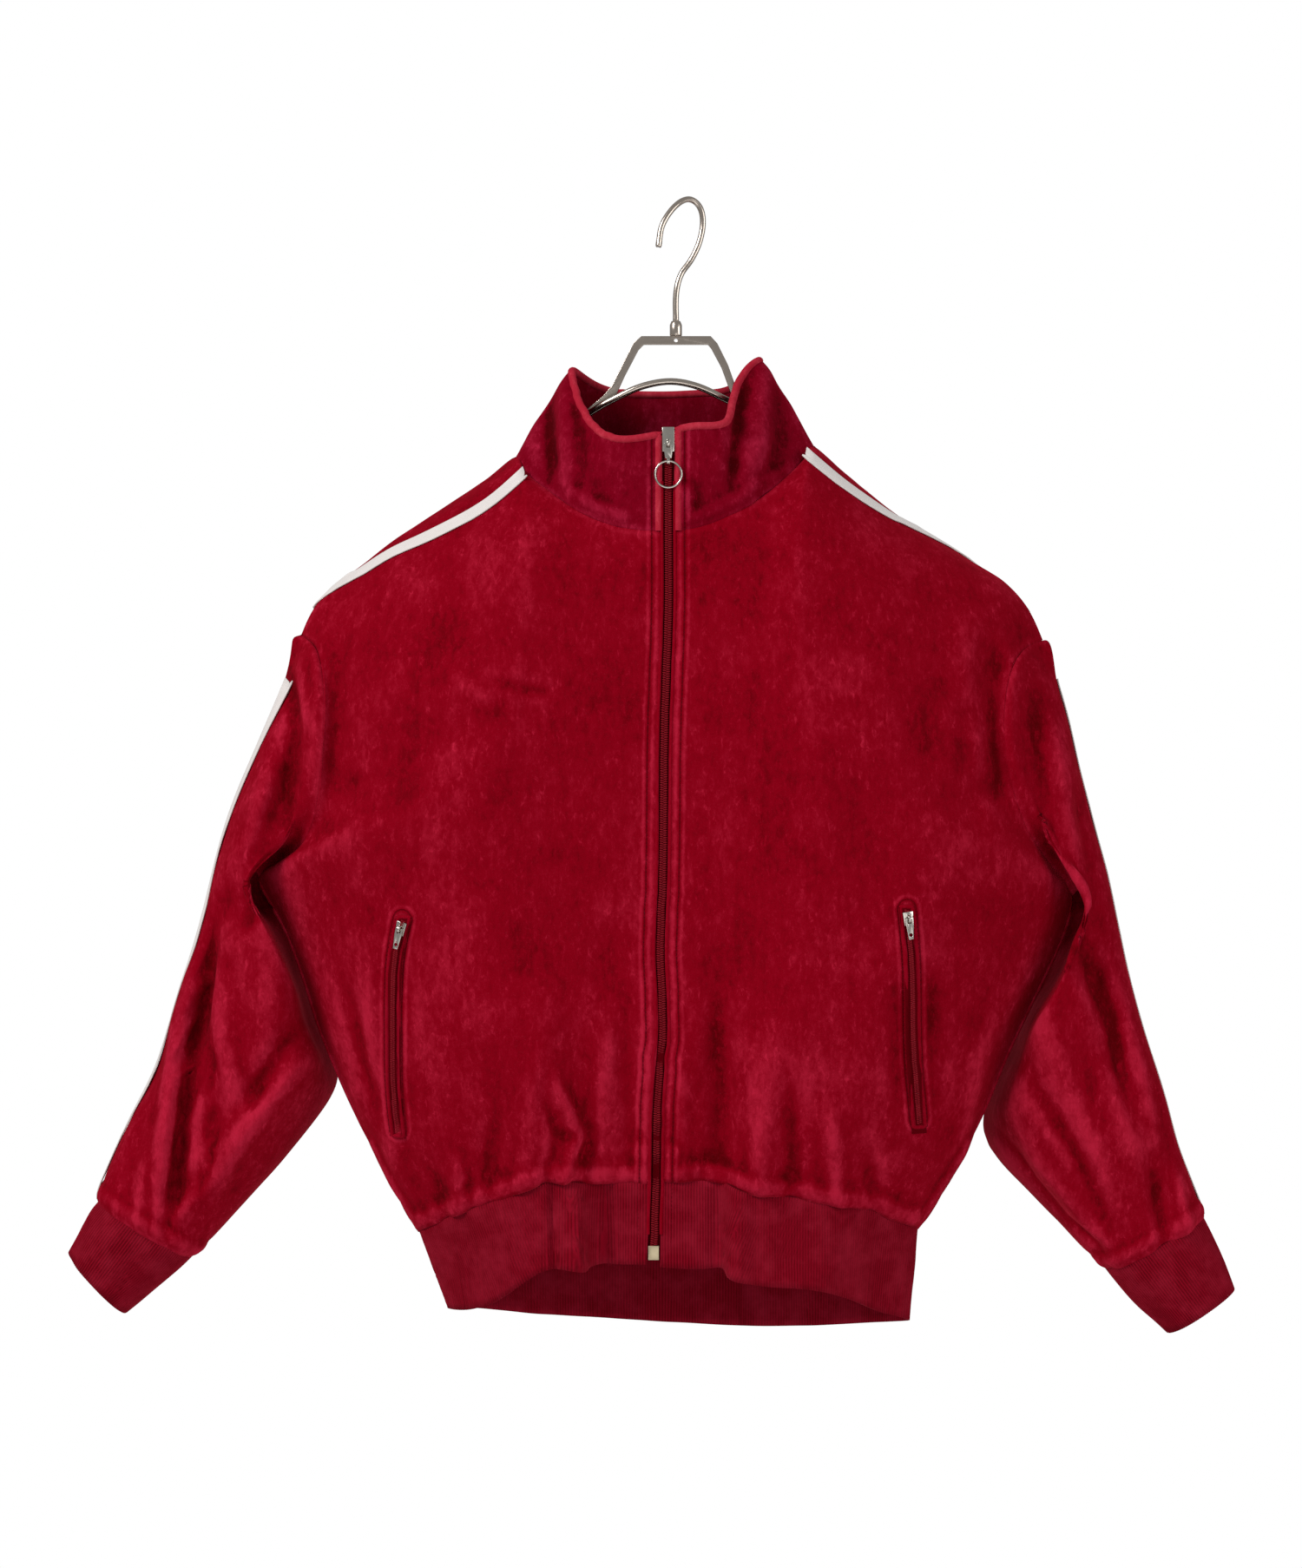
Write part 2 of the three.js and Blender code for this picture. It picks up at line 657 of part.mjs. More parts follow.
// Pieces that share a seam share its direction too, so their walls end in one mitred face
const seams = new Map();
for (const piece of Object.values(pieces)) {
  piece.normals = facing(piece);
  piece.grid.forEach((line, i) => line.forEach((p, j) => {
    const key = keyOf(p);
    const entry = seams.get(key) ?? { sum: vec(0, 0, 0), count: 0 };
    entry.sum.add(piece.normals[i][j]);
    entry.count += 1;
    seams.set(key, entry);
  }));
}
for (const piece of Object.values(pieces)) {
  piece.normals = piece.normals.map((line, i) => line.map((own, j) => {
    const { sum, count } = seams.get(keyOf(piece.grid[i][j]));
    const agreement = Math.max(sum.length() / count, 0.6);
    return sum.clone().normalize().divideScalar(agreement);
  }));
}

// A closed wall between two grids of points, inner and outer
function wallGeometry(outer, inner, round) {
  const rows = outer.length;
  const columns = outer[0].length;
  const flat = [...outer.flat(), ...inner.flat()];
  const positions = flat.flatMap((p) => [p.x, p.y, p.z]);
  const at = (layer, i, j) => layer * rows * columns + i * columns + (j % columns);
  const faces = [];
  // A cell is split on its shorter diagonal, so that both sides of a seam are split alike
  const quad = (a, b, c, d) => {
    if (flat[a].distanceToSquared(flat[c]) <= flat[b].distanceToSquared(flat[d])) {
      faces.push(a, b, c, a, c, d);
    } else {
      faces.push(b, c, d, b, d, a);
    }
  };
  const cellsAcross = round ? columns : columns - 1;
  for (let i = 0; i < rows - 1; i++) {
    for (let j = 0; j < cellsAcross; j++) {
      quad(at(0, i, j), at(0, i, j + 1), at(0, i + 1, j + 1), at(0, i + 1, j));
      quad(at(1, i, j), at(1, i + 1, j), at(1, i + 1, j + 1), at(1, i, j + 1));
    }
  }
  for (let j = 0; j < cellsAcross; j++) {
    const low = rows - 1;
    quad(at(0, 0, j), at(1, 0, j), at(1, 0, j + 1), at(0, 0, j + 1));
    quad(at(0, low, j + 1), at(1, low, j + 1), at(1, low, j), at(0, low, j));
  }
  for (let i = 0; i < rows - 1 && !round; i++) {
    const end = columns - 1;
    quad(at(0, i + 1, 0), at(1, i + 1, 0), at(1, i, 0), at(0, i, 0));
    quad(at(0, i, end), at(1, i, end), at(1, i + 1, end), at(0, i + 1, end));
  }
  return facingOut(positions, faces);
}

// A geometry whose faces point out: the signed volume tells which way they run
function facingOut(positions, faces) {
  let volume = 0;
  const p = (i) => vec(...positions.slice(3 * i, 3 * i + 3));
  for (let f = 0; f < faces.length; f += 3) {
    volume += p(faces[f]).dot(p(faces[f + 1]).cross(p(faces[f + 2])));
  }
  if (volume < 0) faces.reverse();
  const geometry = new THREE.BufferGeometry();
  geometry.setAttribute("position", new THREE.Float32BufferAttribute(positions, 3));
  geometry.setIndex(faces);
  geometry.computeVertexNormals();
  return geometry;
}

// How far each point of a piece is drawn back, half the seam gap at each sewn edge
function drawBack(grid, sewn) {
  const moves = grid.map((line) => line.map(() => vec(0, 0, 0)));
  const rows = grid.length;
  const columns = grid[0].length;
  const pull = (at, inside, before, after) => {
    const seam = after.clone().sub(before).normalize();
    const towards = inside.clone().sub(at);
    towards.addScaledVector(seam, -towards.dot(seam)).normalize();
    return towards.multiplyScalar(SEAM_GAP / 2);
  };
  for (let j = 0; j < columns; j++) {
    const before = Math.max(j - 1, 0);
    const after = Math.min(j + 1, columns - 1);
    for (const [edge, i, inside] of [["top", 0, 1], ["bottom", rows - 1, rows - 2]]) {
      if (!sewn.includes(edge)) continue;
      moves[i][j].add(pull(grid[i][j], grid[inside][j], grid[i][before], grid[i][after]));
    }
  }
  for (let i = 0; i < rows; i++) {
    const before = Math.max(i - 1, 0);
    const after = Math.min(i + 1, rows - 1);
    for (const [edge, j, inside] of [["first", 0, 1], ["second", columns - 1, columns - 2]]) {
      if (!sewn.includes(edge)) continue;
      moves[i][j].add(pull(grid[i][j], grid[i][inside], grid[before][j], grid[after][j]));
    }
  }
  return moves;
}

function clothGeometry({ grid, wall, round, sewn, normals }) {
  const moves = drawBack(grid, sewn);
  const outer = grid.map((line, i) => line.map((p, j) => p.clone().add(moves[i][j])));
  const inner = outer.map((line, i) => line.map((p, j) => p.clone().addScaledVector(normals[i][j], -wall)));
  return wallGeometry(outer, inner, round);
}

// A point a given way along a line of points, with its outward direction; a negative way goes along
// the other line, which leaves the same first point
function walk(line, directions, otherLine, otherDirections, way) {
  const points = way < 0 ? otherLine : line;
  const normals = way < 0 ? otherDirections : directions;
  let left = Math.abs(way);
  let i = 0;
  while (i < points.length - 2 && left > points[i].distanceTo(points[i + 1])) {
    left -= points[i].distanceTo(points[i + 1]);
    i += 1;
  }
  const share = left / points[i].distanceTo(points[i + 1]);
  const normal = normals[i].clone().normalize().lerp(normals[i + 1].clone().normalize(), share);
  return { point: points[i].clone().lerp(points[i + 1], share), normal: normal.normalize() };
}

// A flat strip that lies on the cloth: rows of {point, normal} moved out by its clearance
function stripGeometry(rows, clearance, thickness) {
  const layer = (out) => rows.map((line) => line.map(({ point, normal }) => (
    point.clone().addScaledVector(normal, out)
  )));
  return wallGeometry(layer(clearance + thickness), layer(clearance), false);
}

const STRIPE_CELLS = 6;
const stripeOffsets = Array.from({ length: STRIPE_CELLS + 1 }, (_, k) => (
  (k / STRIPE_CELLS - 0.5) * STRIPE_WIDTH
));
// A stripe that crosses a ridge has one of its lines on the ridge
const onRidge = (way) => (Math.abs(way) < STRIPE_WIDTH / STRIPE_CELLS / 2 ? 0 : way);

// Where the stripe comes out from under the collar, in cells from the shoulder seam
const STRIPE_START = -0.25;

// Where the stripe's middle lies on each shoulder, down the front from the ridge (behind it if negative)
const SHOULDER_STRIPE = {
  right: [38, 44, 44, 38, 30, 21, 13, 3, -7],
  left: [27, 28, 25, 18, 6, -3, -8, -9, -8],
};

// How many parts a cell is cut into where the stripe goes over the ridge
const RIDGE_PARTS = 3;

function shoulderStripe(side) {
  const front = pieces[`front_${side}`];
  const back = pieces.back;
  const middle = BACK_NECK_CELLS / 2 + SHOULDER_CELLS;
  const ways = SHOULDER_STRIPE[side];
  const half = STRIPE_WIDTH / 2;
  const rowAt = (place) => {
    const s = Math.max(0, Math.min(Math.floor(place), SHOULDER_CELLS - 2));
    const share = place - s;
    const frontColumn = NECK_CELLS + s;
    const fromCentre = BACK_NECK_CELLS / 2 + s;
    const backColumn = side === "right" ? middle - fromCentre : middle + fromCentre;
    const backStep = side === "right" ? -1 : 1;
    const between = (rows, j, step) => rows.slice(0, 6).map((row) => (
      row[j].clone().lerp(row[j + step], share)
    ));
    const way = ways[s] + (ways[s + 1] - ways[s]) * share;
    return stripeOffsets.map((offset) => walk(
      between(front.grid, frontColumn, 1), between(front.normals, frontColumn, 1),
      between(back.grid, backColumn, backStep), between(back.normals, backColumn, backStep),
      onRidge(way + offset),
    ));
  };
  const rows = [rowAt(STRIPE_START)];
  for (let s = 1; s < SHOULDER_CELLS; s++) {
    const highest = Math.max(ways[s - 1], ways[s]) + half;
    const lowest = Math.min(ways[s - 1], ways[s]) - half;
    const parts = highest > 0 && lowest < 0 ? RIDGE_PARTS : 1;
    for (let part = s === 1 ? parts : 1; part <= parts; part++) {
      rows.push(rowAt(s - 1 + part / parts));
    }
  }
  return stripGeometry(rows, STRIPE_CLEARANCE, STRIPE_THICKNESS);
}

// Where the sleeve stripe's middle lies on each ring, round the front from the outer fold
const SLEEVE_STRIPE = {
  right: [13, 12, 12, 11, 9, 5, 0, -6],
  left: [-4, -5, -6, -7, -8, -9, -10, -11],
};

function sleeveStripe(side) {
  const { grid, normals } = pieces[`sleeve_${side}`];
  const count = grid[0].length;
  const places = SLEEVE_STRIPE[side].map((way) => vec(way, 0, 0));
  const curve = new THREE.CatmullRomCurve3(places, false, "catmullrom", 0.5);
  const rows = [];
  for (let i = 2; i < grid.length; i++) {
    const forward = [0, 1, 2, 3];
    const backward = [0, count - 1, count - 2, count - 3];
    const middle = curve.getPoint(i / (grid.length - 1)).x;
    rows.push(stripeOffsets.map((offset) => walk(
      forward.map((k) => grid[i][k]), forward.map((k) => normals[i][k]),
      backward.map((k) => grid[i][k]), backward.map((k) => normals[i][k]),
      onRidge(middle + offset),
    )));
  }
  const length = rows.length - 1;
  rows[length] = rows[length].map((spot, j) => ({
    point: spot.point.clone().lerp(rows[length - 1][j].point, 0.05),
    normal: spot.normal,
  }));
  return stripGeometry(rows, STRIPE_CLEARANCE, STRIPE_THICKNESS);
}

// The place on a panel's outer face that is seen at x, z from the front
function seenAt(grid, x, z) {
  const spot = vec(x, 0, z);
  for (let i = 0; i < grid.length - 1; i++) {
    for (let j = 0; j < grid[0].length - 1; j++) {
      const corners = [grid[i][j], grid[i][j + 1], grid[i + 1][j + 1], grid[i + 1][j]];
      for (const [a, b, c] of [[0, 1, 2], [0, 2, 3]]) {
        const flat = [a, b, c].map((k) => vec(corners[k].x, 0, corners[k].z));
        const weights = THREE.Triangle.getBarycoord(spot, ...flat, vec(0, 0, 0));
        if (weights && Math.min(weights.x, weights.y, weights.z) >= 0) {
          const y = weights.x * corners[a].y + weights.y * corners[b].y + weights.z * corners[c].y;
          const normal = corners[b].clone().sub(corners[a]).cross(corners[c].clone().sub(corners[a]));
          normal.normalize();
          if (normal.y > 0) normal.negate();
          return { point: vec(x, y, z), normal };
        }
      }
    }
  }
  throw new Error(`no cloth at ${x}, ${z}`);
}

// Pocket openings, from the top end to the bottom end as seen from the front
const POCKETS = {
  right: table("x z", [[-206, -533], [-213, -564], [-215, -627], [-215, -660], [-212, -697]]),
  left: table("x z", [[158, -525], [162, -564], [164, -627], [167, -660], [170, -692]]),
};
const POCKET_CLEARANCE = 0.5;
const POCKET_THICKNESS = 1.2;

function pocketLine(side, cells) {
  return along(POCKETS[side].map(({ x, z }) => vec(x, 0, z)), cells);
}

function pocketZip(side) {
  const { grid } = pieces[`front_${side}`];
  const line = pocketLine(side, 15);
  const across = [-0.5, -0.17, 0.17, 0.5].map((share) => share * POCKET_WIDTH);
  const spots = line.map((p) => across.map((dx) => seenAt(grid, p.x + dx, p.z)));
  const rows = spots.map((row) => {
    const normal = row.reduce((sum, spot) => sum.add(spot.normal), vec(0, 0, 0)).normalize();
    return row.map(({ point }) => ({ point, normal }));
  });
  return stripGeometry(rows, POCKET_CLEARANCE, POCKET_THICKNESS);
}

// manifold-3d joins and cuts the metal pieces
const wasm = await Module();
wasm.setup();

function solid(geometry) {
  const bare = geometry.clone();
  bare.deleteAttribute("normal");
  bare.deleteAttribute("uv");
  const merged = mergeVertices(bare, 1e-4);
  return new wasm.Manifold(new wasm.Mesh({
    numProp: 3,
    vertProperties: merged.attributes.position.array,
    triVerts: new Uint32Array(merged.index.array),
  }));
}

function geometryOf(manifold) {
  const mesh = manifold.getMesh();
  const geometry = new THREE.BufferGeometry();
  geometry.setAttribute("position", new THREE.BufferAttribute(mesh.vertProperties, 3));
  geometry.setIndex(new THREE.BufferAttribute(mesh.triVerts, 1));
  geometry.computeVertexNormals();
  return geometry;
}

// A plate or block with its outline in X and Z and its thickness in Y, centred on y
function plate(points, thickness, y, holes = []) {
  const shape = new THREE.Shape(points.map(([x, z]) => new THREE.Vector2(x, z)));
  for (const hole of holes) shape.holes.push(hole);
  const sizes = { depth: thickness, bevelEnabled: false, curveSegments: 6 };
  const geometry = new THREE.ExtrudeGeometry(shape, sizes);
  return geometry.rotateX(Math.PI / 2).translate(0, y + thickness / 2, 0);
}

// A profile in Y and Z, carried across in X and centred on x = 0
function crossways(shape, width) {
  const geometry = new THREE.ExtrudeGeometry(shape, { depth: width, bevelEnabled: false, curveSegments: 8 });
  const turn = new THREE.Matrix4().makeBasis(vec(0, 1, 0), vec(0, 0, 1), vec(1, 0, 0));
  return geometry.applyMatrix4(turn).translate(-width / 2, 0, 0);
}

// A round hole as a many-sided path, with no doubled point where it closes
function roundHole(x, z, r, sides = 12) {
  const turns = Array.from({ length: sides }, (_, k) => (2 * Math.PI * k) / sides);
  return new THREE.Path(turns.map((a) => new THREE.Vector2(x + r * Math.cos(a), z + r * Math.sin(a))));
}

// A round wire along a smooth line of points
function wire(points, diameter, steps) {
  const shape = new THREE.Shape().absarc(0, 0, diameter / 2, 0, 2 * Math.PI);
  return new THREE.ExtrudeGeometry(shape, {
    steps, extrudePath: spline(points), curveSegments: 4, bevelEnabled: false,
  });
}

// Slider and pull, in a frame of their own: the slider's face is y = 0, out is -Y, and the pull's pivot
// is at z = 0, one pivot height out from the face
const PIVOT_OUT = 1.3;
const PIVOT_BAR = 0.7;
const CROWN_INNER = 1.4;
const CROWN_OUTER = 2.8;
const CROWN_WIDTH = 2;
const WINDOW_WIDTH = 3;
const PULL_THICKNESS = 1.2;

function crown() {
  const shape = new THREE.Shape();
  shape.moveTo(0.2, -CROWN_OUTER);
  shape.lineTo(-PIVOT_OUT, -CROWN_OUTER);
  shape.absarc(-PIVOT_OUT, 0, CROWN_OUTER, 1.5 * Math.PI, 0.5 * Math.PI, true);
  shape.lineTo(0.2, CROWN_OUTER);
  shape.lineTo(0.2, CROWN_INNER);
  shape.lineTo(-PIVOT_OUT, CROWN_INNER);
  shape.absarc(-PIVOT_OUT, 0, CROWN_INNER, 0.5 * Math.PI, 1.5 * Math.PI, false);
  shape.lineTo(0.2, -CROWN_INNER);
  return crossways(shape, CROWN_WIDTH);
}

// Two plates joined by a post at the top, open below for the teeth
function slider({ width, top, bottom, plateThickness, slot }) {
  const depth = slot + 2 * plateThickness;
  const shape = new THREE.Shape();
  const corners = [
    [0, bottom], [plateThickness, bottom], [plateThickness, top - 2], [plateThickness + slot, top - 2],
    [plateThickness + slot, bottom + 1], [depth, bottom + 1], [depth, top], [0, top],
  ];
  corners.forEach(([y, z], i) => (i ? shape.lineTo(y, z) : shape.moveTo(y, z)));
  return geometryOf(solid(crossways(shape, width)).add(solid(crown())));
}

// A pull tab: a bar through the crown, a window that clears the crown, and a tongue below
function pullTab({ width, length, taper, eye }) {
  const half = width / 2;
  const low = half * taper;
  const outline = [
    [-half, 0.7], [half, 0.7], [half, -4.4], [low, -length], [-low, -length], [-half, -4.4],
  ];
  const window = new THREE.Path();
  window.moveTo(-WINDOW_WIDTH / 2, -PIVOT_BAR);
  window.lineTo(-WINDOW_WIDTH / 2, -3.4);
  window.lineTo(WINDOW_WIDTH / 2, -3.4);
  window.lineTo(WINDOW_WIDTH / 2, -PIVOT_BAR);
  const holes = eye ? [window, roundHole(0, -length + 3.2, 1.4)] : [window];
  return plate(outline, PULL_THICKNESS, -PIVOT_OUT, holes);
}

const group = new THREE.Group();
function add(geometry, { name, color, roughness, metalness }, parent = group) {
  const mesh = new THREE.Mesh(geometry, new THREE.MeshStandardMaterial({ color, roughness, metalness }));
  mesh.name = name;
  parent.add(mesh);
}

const ribbed = ["waistband", "cuff_right", "cuff_left"];
for (const [name, piece] of Object.entries(pieces)) {
  add(clothGeometry(piece), ribbed.includes(name) ? rib(name) : velour(name));
}
for (const side of ["right", "left"]) {
  add(shoulderStripe(side), stripe(`shoulder_stripe_${side}`));
  add(sleeveStripe(side), stripe(`sleeve_stripe_${side}`));
  add(pocketZip(side), coil(`pocket_zip_${side}`));
}

// The main zip lies behind the two front edges, from the collar's edge to the waistband's
const ZIP_TAPE_BACK = 4.2;
const ZIP_TAPE_FRONT = 3.3;
const ZIP_CHAIN_FRONT = 0.9;
const ZIP_SECTION = [
  [-ZIP_TAPE_HALF, ZIP_TAPE_FRONT], [-ZIP_CHAIN_HALF, ZIP_TAPE_FRONT], [-ZIP_CHAIN_HALF, ZIP_CHAIN_FRONT],
  [ZIP_CHAIN_HALF, ZIP_CHAIN_FRONT], [ZIP_CHAIN_HALF, ZIP_TAPE_FRONT], [ZIP_TAPE_HALF, ZIP_TAPE_FRONT],
  [ZIP_TAPE_HALF, ZIP_TAPE_BACK], [-ZIP_TAPE_HALF, ZIP_TAPE_BACK],
];
const SLIDER_TOP = -175;
const ZIP_TOP = SLIDER_TOP - 2.6;

function mainZip() {
  const topEdge = COLLAR[0];
  const lowEdge = WAISTBAND[0];
  const lowZip = WAISTBAND.at(-1);
  const foot = zipPoints.at(-1);
  const lowX = (lowEdge.lowX + lowZip.lowX) / 2;
  const path = [
    vec(-14, topEdge.topY, ZIP_TOP),
    vec(-14, topEdge.topY, -215),
    ...zipPoints,
    vec((foot.x + lowX) / 2, (foot.y + lowEdge.lowY) / 2, (foot.z + lowEdge.lowZ) / 2),
    vec(lowX, lowEdge.lowY, lowEdge.lowZ + 3),
  ];
  const sections = path.map((p) => ZIP_SECTION.map(([dx, dy]) => vec(p.x + dx, p.y + dy, p.z)));
  const count = ZIP_SECTION.length;
  const positions = sections.flat().flatMap((p) => [p.x, p.y, p.z]);
  const faces = [];
  for (let i = 0; i < sections.length - 1; i++) {
    for (let k = 0; k < count; k++) {
      const a = i * count + k;
      const b = i * count + ((k + 1) % count);
      faces.push(a, b, b + count, a, b + count, a + count);
    }
  }
  const cap = THREE.ShapeUtils.triangulateShape(ZIP_SECTION.map(([x, y]) => new THREE.Vector2(x, y)), []);
  const end = (sections.length - 1) * count;
  for (const [a, b, c] of cap) {
    faces.push(c, b, a);
    faces.push(end + a, end + b, end + c);
  }
  return facingOut(positions, faces);
}
add(mainZip(), coil("main_zip"));

// Main slider with its pull and ring, at the collar's edge
const SLIDER_PLATE = 1.2;
const METAL_GAP = 0.35;
const BOX_THICKNESS = 1.4;
const mainSliderPlace = new THREE.Group();
const MAIN_FACE_Y = COLLAR[0].topY + ZIP_CHAIN_FRONT - METAL_GAP - SLIDER_PLATE;
const MAIN_PIVOT_Z = SLIDER_TOP - 12;
mainSliderPlace.position.set(-14, MAIN_FACE_Y, MAIN_PIVOT_Z);
group.add(mainSliderPlace);
add(slider({
  width: 9, top: 12, bottom: -6, plateThickness: SLIDER_PLATE,
  slot: ZIP_TAPE_BACK - ZIP_CHAIN_FRONT + 2 * METAL_GAP,
}), nickel("main_slider"), mainSliderPlace);

const PULL_LENGTH = 11;
const EYE_CENTRE = -PULL_LENGTH - 2;
function mainPull() {
  const eyeShape = new THREE.Shape().absarc(-PIVOT_OUT, EYE_CENTRE, 2.6, 0, 2 * Math.PI);
  eyeShape.holes.push(roundHole(-PIVOT_OUT, EYE_CENTRE, 1.3));
  const tab = solid(pullTab({ width: 6.4, length: PULL_LENGTH, taper: 0.7, eye: false }));
  return geometryOf(tab.add(solid(crossways(eyeShape, 2.2))));
}
add(mainPull(), nickel("main_pull"), mainSliderPlace);

const RING_RADIUS = 9.7;
const RING_WIRE = 1.6;
const ring = new THREE.TorusGeometry(RING_RADIUS, RING_WIRE / 2, 6, 28)
  .rotateX(Math.PI / 2)
  .translate(0, -PIVOT_OUT, EYE_CENTRE - RING_RADIUS);
add(ring, nickel("pull_ring"), mainSliderPlace);

// Pocket sliders and their pull tabs, square to the cloth at the top of each pocket
const POCKET_SLIDER_DROP = 8;
for (const side of ["right", "left"]) {
  const { grid } = pieces[`front_${side}`];
  const line = pocketLine(side, 20);
  const down = line[3].clone().sub(line[0]).normalize();
  const at = line[0].clone().addScaledVector(down, POCKET_SLIDER_DROP);
  const spot = seenAt(grid, at.x, at.z);
  const top = seenAt(grid, line[0].x, line[0].z).point;
  const low = seenAt(grid, line[4].x, line[4].z).point;
  const up = top.clone().sub(low).normalize();
  const out = spot.normal.clone().addScaledVector(up, -spot.normal.dot(up)).normalize();
  const across = up.clone().cross(out).normalize();
  const holder = new THREE.Group();
  const frame = new THREE.Matrix4().makeBasis(across, out.clone().negate(), up);
  holder.setRotationFromMatrix(frame);
  const base = POCKET_CLEARANCE + POCKET_THICKNESS + 0.5;
  holder.position.copy(spot.point).addScaledVector(out, base + SLIDER_PLATE);
  group.add(holder);
  const body = plate([[-4, 5], [4, 5], [3.2, -5], [-3.2, -5]], SLIDER_PLATE, SLIDER_PLATE / 2);
  add(geometryOf(solid(body).add(solid(crown()))), nickel(`pocket_slider_${side}`), holder);
  add(pullTab({ width: 5.6, length: 15, taper: 0.6, eye: true }), nickel(`pocket_pull_${side}`), holder);
}

// The zip's bottom box and pin, clamped on the end of the chain
const boxTop = WAISTBAND[0].lowZ + 14;
const zipBox = plate([[-4, 0], [4, 0], [4, -10.5], [-4, -10.5]], BOX_THICKNESS, 0);
zipBox.translate(-24.8, WAISTBAND[0].lowY + ZIP_CHAIN_FRONT - METAL_GAP - BOX_THICKNESS, boxTop);
add(zipBox, brass("zip_box"));

// The hanger: a hook, its ferrule, a flat yoke on two legs and two wires that run out in the shoulders
const hookPoints = [
  [-21, -6, -34], [-18.5, -5, -19], [-12, -3, -7.5], [-5, -1, -0.5], [1, 0, 2], [7, 2, 0],
  [11, 3, -6], [12.2, 3.5, -16], [9.5, 3, -30], [3.5, 2, -43], [-3.5, 1, -53], [-6.5, 0, -61],
  [-8, 0, -71], [-8, 0, -89],
].map(([x, y, z]) => vec(x, y, z));
add(wire(hookPoints, WIRE, 32), chrome("hanger_hook"));

const ferrule = new THREE.LatheGeometry([
  [0, -11], [4.6, -11], [4.6, -3], [3.4, 0], [0, 0],
].map(([r, z]) => new THREE.Vector2(r, z)), 20).rotateX(Math.PI / 2).translate(-8, 0, -89.3);
add(ferrule, chrome("hanger_ferrule"));

const YOKE_THICKNESS = 3;
const yokeOutline = [
  [-34, -100.6], [18, -100.6], [23, -106], [31, -122], [37, -139], [43, -146], [66, -168], [62, -172],
  [39, -150], [33, -143], [26, -124], [18.5, -110], [16, -107], [-32, -107], [-36, -111], [-46, -130],
  [-52, -143], [-60, -151], [-88, -173], [-92, -169], [-63, -146], [-56, -138], [-50, -126], [-40, -106],
];
add(plate(yokeOutline, YOKE_THICKNESS, 0, [roundHole(-8, -103.8, 1.4)]), chrome("hanger_yoke"));

// The two arms are one bent wire with an arch between them: it lies against the front of the yoke's feet
// and carries the shoulders from inside
const FOOT_Y = -(YOKE_THICKNESS + ARM_WIRE) / 2 - METAL_GAP;
const ARM_DROP = { right: 6.6, left: 6.7 };
const ARM_FORWARD = 1.3;
const armPoints = (side) => {
  const ridge = edges[side].ridge;
  const inside = vec(0, -ARM_FORWARD, -VELOUR_WALL - ARM_DROP[side]);
  return [3, 5, 7].map((k) => ridge[k].clone().add(inside));
};
const archPoints = [
  [-90, FOOT_Y, -172], [-79, FOOT_Y, -163.5], [-68, -8, -156], [-52, -14, -148], [-36, -17, -141],
  [-14, -18, -136.5], [8, -17, -140], [26, -13, -148], [42, -8, -155], [53, FOOT_Y, -162],
  [64, FOOT_Y, -171],
].map(([x, y, z]) => vec(x, y, z));
const barPoints = [...armPoints("right").reverse(), ...archPoints, ...armPoints("left")];
add(wire(barPoints, ARM_WIRE, 44), chrome("hanger_arms"));

export default group;
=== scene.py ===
"""A crimson velour track jacket with side-stripe tapes, hung on a plated metal hanger.

The jacket is put together here in the order a maker would sew it: fronts, back, sleeves, collar,
ribbed bands, tapes, pockets, front zip, and last the hanger that it hangs on.
"""

import math

import bmesh
import bpy
import numpy as np
from mathutils import Matrix, Vector, noise
from mathutils.bvhtree import BVHTree
from mathutils.kdtree import KDTree


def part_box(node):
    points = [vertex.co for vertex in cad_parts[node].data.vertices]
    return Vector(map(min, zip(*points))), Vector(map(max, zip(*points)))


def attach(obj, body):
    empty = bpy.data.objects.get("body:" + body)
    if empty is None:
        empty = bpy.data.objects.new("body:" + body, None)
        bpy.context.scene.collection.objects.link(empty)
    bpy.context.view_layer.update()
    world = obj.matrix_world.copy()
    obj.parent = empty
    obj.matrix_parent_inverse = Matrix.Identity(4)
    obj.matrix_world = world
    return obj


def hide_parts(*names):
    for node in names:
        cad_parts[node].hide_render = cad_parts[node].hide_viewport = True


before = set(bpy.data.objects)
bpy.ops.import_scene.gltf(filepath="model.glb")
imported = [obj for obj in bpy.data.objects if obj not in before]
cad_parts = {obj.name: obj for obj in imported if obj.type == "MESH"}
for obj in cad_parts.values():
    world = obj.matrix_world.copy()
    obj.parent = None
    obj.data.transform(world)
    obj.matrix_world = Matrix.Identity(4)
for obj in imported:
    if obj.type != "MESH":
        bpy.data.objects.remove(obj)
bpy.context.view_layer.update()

# Fronts: two panels of cotton-rich velour, cut on the straight with the pile running down, and sewn
# to the zip, the yoke-less shoulder, the armhole and the ribbed hem. Each is one layer of cloth.
VELOUR_WALL = 0.0022
# The dark tone is both the velour's darker mottling and painted shade in hollows and stitch grooves; the pale tone is
# both lighter wear and painted highlight on ridges and beside seams.
VELOUR_DARK = (0.082, 0.0, 0.0014, 1)
VELOUR_MID = (0.205, 0.0, 0.0062, 1)
VELOUR_WORN_AND_LIT = (0.44, 0.013, 0.040, 1)


